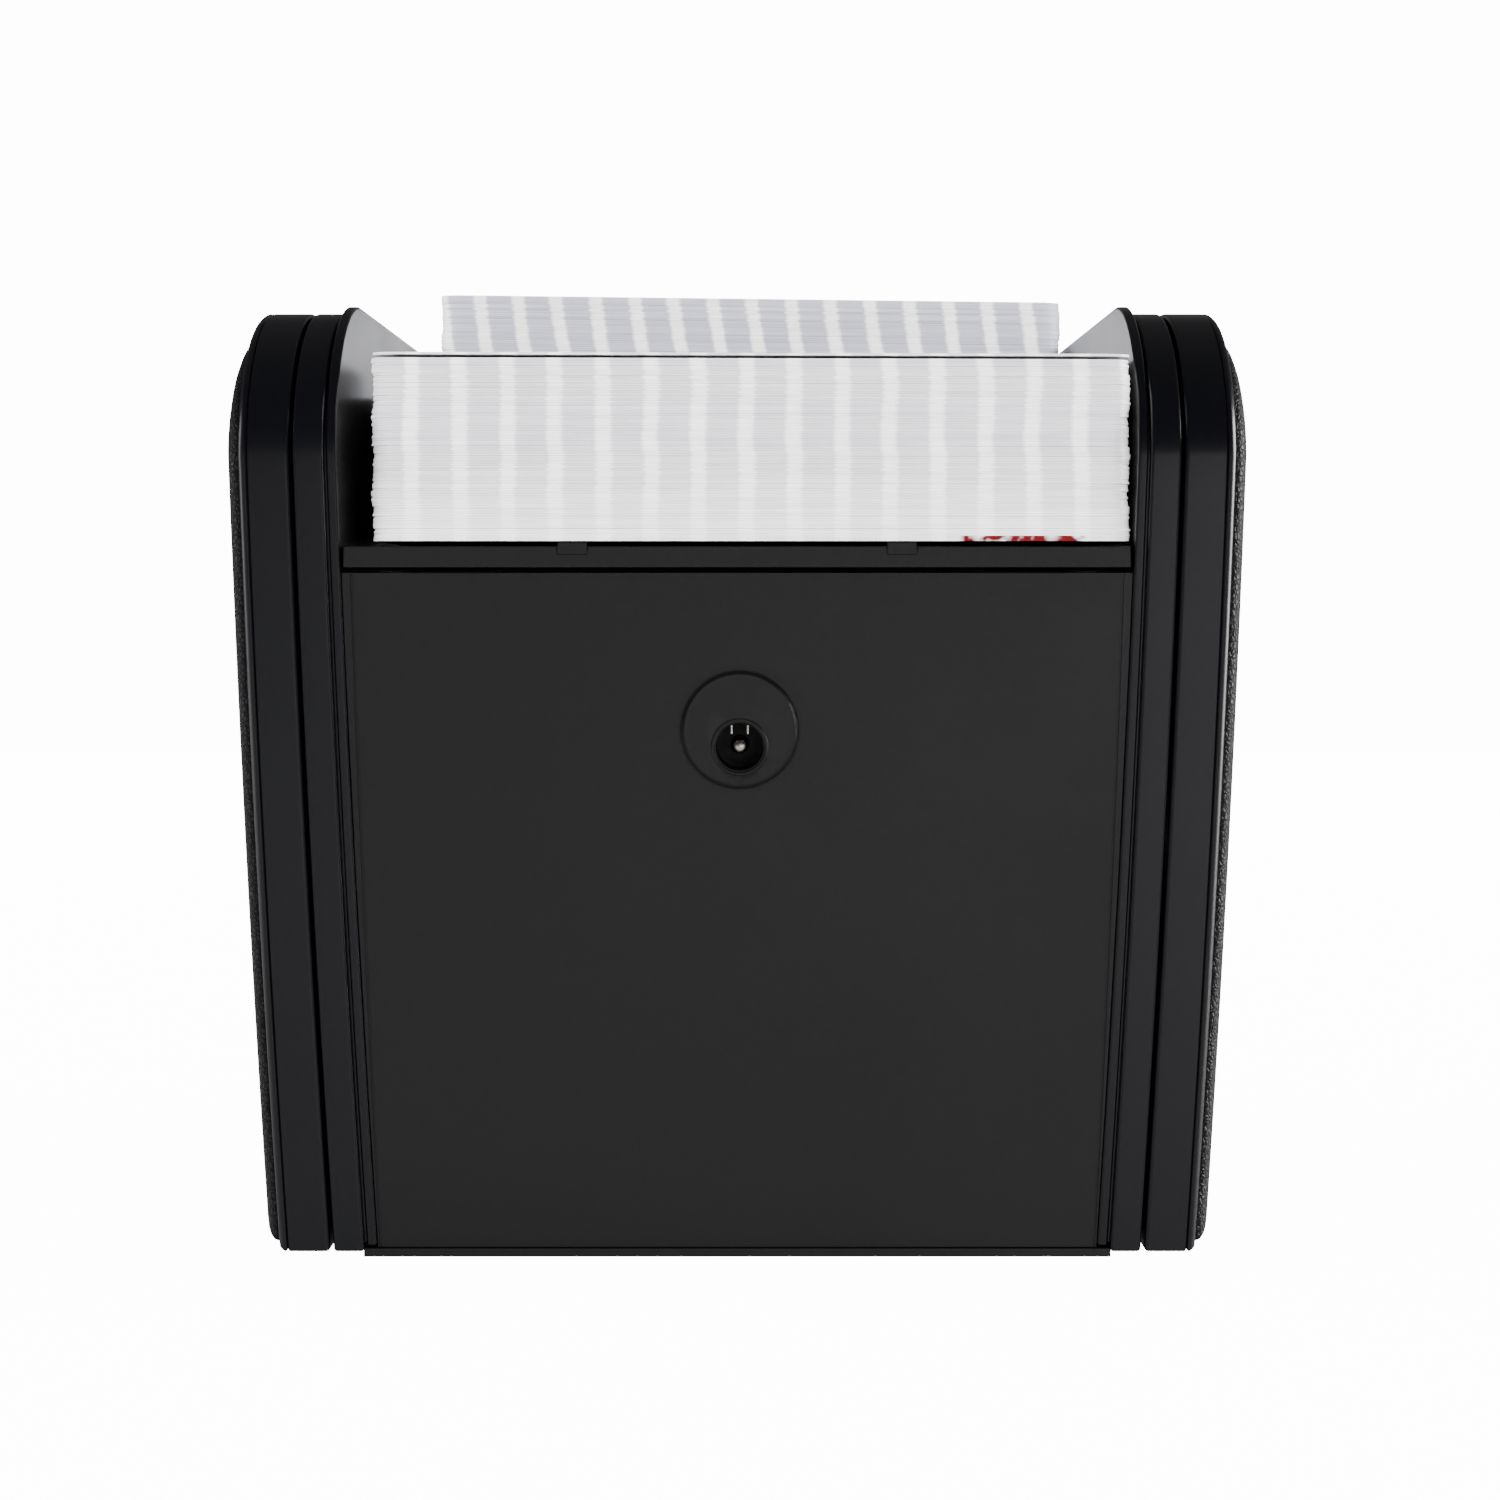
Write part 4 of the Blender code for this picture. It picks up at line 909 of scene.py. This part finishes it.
def makeSpring():
    t = turnedParts
    low, high = boxMm("button_spring")
    middle = (low + high) / 2
    wire = t["wire"]
    gap = t["wireGap"]
    radius = (high.z - low.z) / 2 - wire - gap
    rise = high.x - low.x - 2 * wire - gap
    around, steps = 12, int(48 * t["turns"])
    bm = bmesh.new()
    rings = []
    for i in range(steps + 1):
        turn = 2 * math.pi * t["turns"] * i / steps
        ring = []
        for k in range(around):
            a = 2 * math.pi * k / around
            reach = radius + wire * math.cos(a)
            x = low.x + wire + gap / 2 + rise * i / steps + wire * math.sin(a)
            ring.append(bm.verts.new((x, middle.y + reach * math.cos(turn),
                                      middle.z + reach * math.sin(turn))))
        rings.append(ring)
    for one, two in zip(rings, rings[1:]):
        for k in range(around):
            n = (k + 1) % around
            bm.faces.new((one[k], one[n], two[n], two[k]))
    bm.faces.new(rings[0])
    bm.faces.new(rings[-1])
    coil = pieceFrom(bm, "button_spring_coil", slotOf["button_spring"], bodyOf["button_spring"])
    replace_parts(coil, "button_spring")
    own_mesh(coil)


def makeCells():
    t = turnedParts
    for number in range(1, 5):
        node = f"battery_{number}"
        low, high = boxMm(node)
        r = (high.z - low.z) / 2
        length = high.x - low.x
        nubLow = number % 2 == 1
        start = t["cellNub"] if nubLow else 0.0
        end = length if nubLow else length - t["cellNub"]
        e = t["cellEdge"]
        jacket = [(r - 1.0, start + 0.15), (r - e, start), (r - e * 0.3, start + e * 0.3), (r, start + e),
                  (r, end - e), (r - e * 0.3, end - e * 0.3), (r - e, end), (r - 1.0, end - 0.15),
                  (r - 1.0, start + 0.15)]
        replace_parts(spunOn(node, "X", jacket, suffix="jacket"), node)
        n = t["nubRadius"]
        wall, cap = r - 0.9, t["capIn"]
        if nubLow:
            can = [(0.0, 0.0), (n - cap, 0.0), (n, cap), (n, start + cap), (wall, start + cap),
                   (wall, end - cap), (0.0, end - cap)]
        else:
            can = [(0.0, cap), (wall, cap), (wall, end - cap), (n, end - cap), (n, length - cap),
                   (n - cap, length), (0.0, length)]
        spunOn(node, "X", can, suffix="can", finish="contact_metal")


def makeMotors():
    for label in ends:
        node = f"motor_{label}"
        low, high = boxMm(node)
        rod = roundedRod((high.y - low.y) / 2, high.x - low.x, turnedParts["canEdge"])
        can = spunOn(node, "X", rod, suffix="can")
        for z in ((low.z - 5, low.z), (high.z, high.z + 5)):
            cutWith(can, blockShape((low.x - 1, high.x + 1), (low.y - 1, high.y + 1), z), f"{node}_flat")
        softenEdges(can, 0.25, 2)
        evenShading(can)
        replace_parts(can, node)


# ---- the whole machine

plainSoftening = {
    "hopper_tray_near": 0.7, "hopper_tray_far": 0.7,
    "card_gate_near": 0.4, "card_gate_far": 0.4, "card_chute": 0.3, "card_drawer": 0.4,
    "drawer_front": 0.6, "base_plate": 0.25, "battery_door": 0.25,
    "micro_switch": 0.15, "circuit_board": 0.12, "battery_contact_left": 0.1,
    "battery_contact_right": 0.1,
}
gearSoftening = {"feed_gear": 0.12, "exit_gear": 0.12, "transfer_gear": 0.12, "motor_pinion": 0.1}


def buildMachine():
    for label, side in sides.items():
        makeShell(side, label)
        makeCover(side, label)
        makePad(side, label)
    print("shell and pads made")
    for node, width in plainSoftening.items():
        refined(node, width)
    for gear, width in gearSoftening.items():
        for label in ends:
            refined(f"{gear}_{label}", width)
    for label, end in ends.items():
        makePanel(end, label)
    print("mouldings softened")
    makeInlet()
    print("power inlet made")
    for label in ends:
        makePack(label)
    print("card packs made")
    for label in ends:
        makeRollers(label)
    print("rollers made")
    makeFeet()
    makeScrews()
    makeShafts()
    makeButton()
    makeSpring()
    makeCells()
    makeMotors()
    print("turned parts made")
    for node, piece in frame["nodes"].items():
        slot = slotOf[node]
        if slot != "cards":
            piece.data.materials.clear()
            piece.data.materials.append(finishes[slot])


buildMachine()


# ---- floor, lights and camera

studio = {"floor": "#8c8c8c", "floorSize": 12.0, "backdrop": 14.0, "worldSide": 0.05,
          "floorSeen": 14.0, "floorGlow": 0.16}


def makeFloor():
    bm = bmesh.new()
    bmesh.ops.create_grid(bm, x_segments=1, y_segments=1, size=studio["floorSize"] / 2)
    mesh = bpy.data.meshes.new("floor")
    bm.to_mesh(mesh)
    bm.free()
    floor = bpy.data.objects.new("floor", mesh)
    bpy.context.scene.collection.objects.link(floor)
    material, tree, shader, _ = startFinish("matte_studio_floor", {
        "Base Color": hexColour(studio["floor"]), "Roughness": 0.9,
        "Emission Color": (1, 1, 1, 1)})
    seen = addNode(tree, "ShaderNodeLightPath")
    glow = addNode(tree, "ShaderNodeMapRange", {
        "To Min": studio["floorGlow"], "To Max": studio["floorSeen"]},
        {"Value": seen.outputs["Is Camera Ray"]})
    tree.links.new(glow.outputs["Result"], shader.inputs["Emission Strength"])
    mesh.materials.append(material)


def makeWorld():  # the white room behind the object is bright to look at, dimmer as a light
    world = bpy.data.worlds.new("studio")
    bpy.context.scene.world = world
    world.use_nodes = True
    tree = world.node_tree
    background = tree.nodes["Background"]
    background.inputs["Color"].default_value = (1, 1, 1, 1)
    seen = addNode(tree, "ShaderNodeLightPath")
    strength = addNode(tree, "ShaderNodeMapRange", {
        "To Min": studio["worldSide"], "To Max": studio["backdrop"]},
        {"Value": seen.outputs["Is Camera Ray"]})
    tree.links.new(strength.outputs["Result"], background.inputs["Strength"])


def addSoftbox(name, place, target, size, power):
    light = bpy.data.lights.new(name, "AREA")
    light.shape = "RECTANGLE"
    light.size, light.size_y = size
    light.energy = power
    lamp = bpy.data.objects.new(name, light)
    bpy.context.scene.collection.objects.link(lamp)
    lamp.location = place
    lamp.visible_camera = False
    lamp.rotation_euler = (Vector(target) - Vector(place)).to_track_quat("-Z", "Y").to_euler()
    return lamp


def makeLights():
    addSoftbox("backSoftbox", (0.3, 2.2, 0.5), (0, 0, 0.1), (2.4, 0.5), 0.55)
    addSoftbox("rightSoftbox", (1.3, 0.16, 0.30), (0, 0, 0.07), (0.6, 0.9), 48)
    addSoftbox("leftSoftbox", (-1.35, 0.16, 0.30), (0, 0, 0.07), (0.5, 0.9), 7)
    addSoftbox("lowFrontSoftbox", (0.42, -1.7, 0.06), (0, 0, 0.05), (0.7, 0.28), 1.6)
    fills = (("backFill", (0, 1.8, 0.6), 0.05, 70), ("sideFill", (-1.8, 0, 0.6), 0.05, 70),
             ("frontFill", (0.0, -1.8, 0.6), 0.08, 120))
    for name, place, aim, power in fills:  # these light the cards without shining in the black
        addSoftbox(name, place, (0, 0, aim), (2.2, 1.0), power).visible_glossy = False


cameraLook = {"x": 0.0015, "y": -0.700, "z": 0.0779, "lens": 123.12, "pitch": 1.675}


def makeCamera():
    data = bpy.data.cameras.new("camera")
    data.sensor_width = 36.0
    data.lens = cameraLook["lens"]
    data.clip_start, data.clip_end = 0.01, 100.0
    camera = bpy.data.objects.new("camera", data)
    bpy.context.scene.collection.objects.link(camera)
    camera.location = (cameraLook["x"], cameraLook["y"], cameraLook["z"])
    camera.rotation_euler = (math.radians(90 - cameraLook["pitch"]), 0, 0)
    bpy.context.scene.camera = camera


makeFloor()
makeWorld()
makeLights()
makeCamera()
print("studio made")
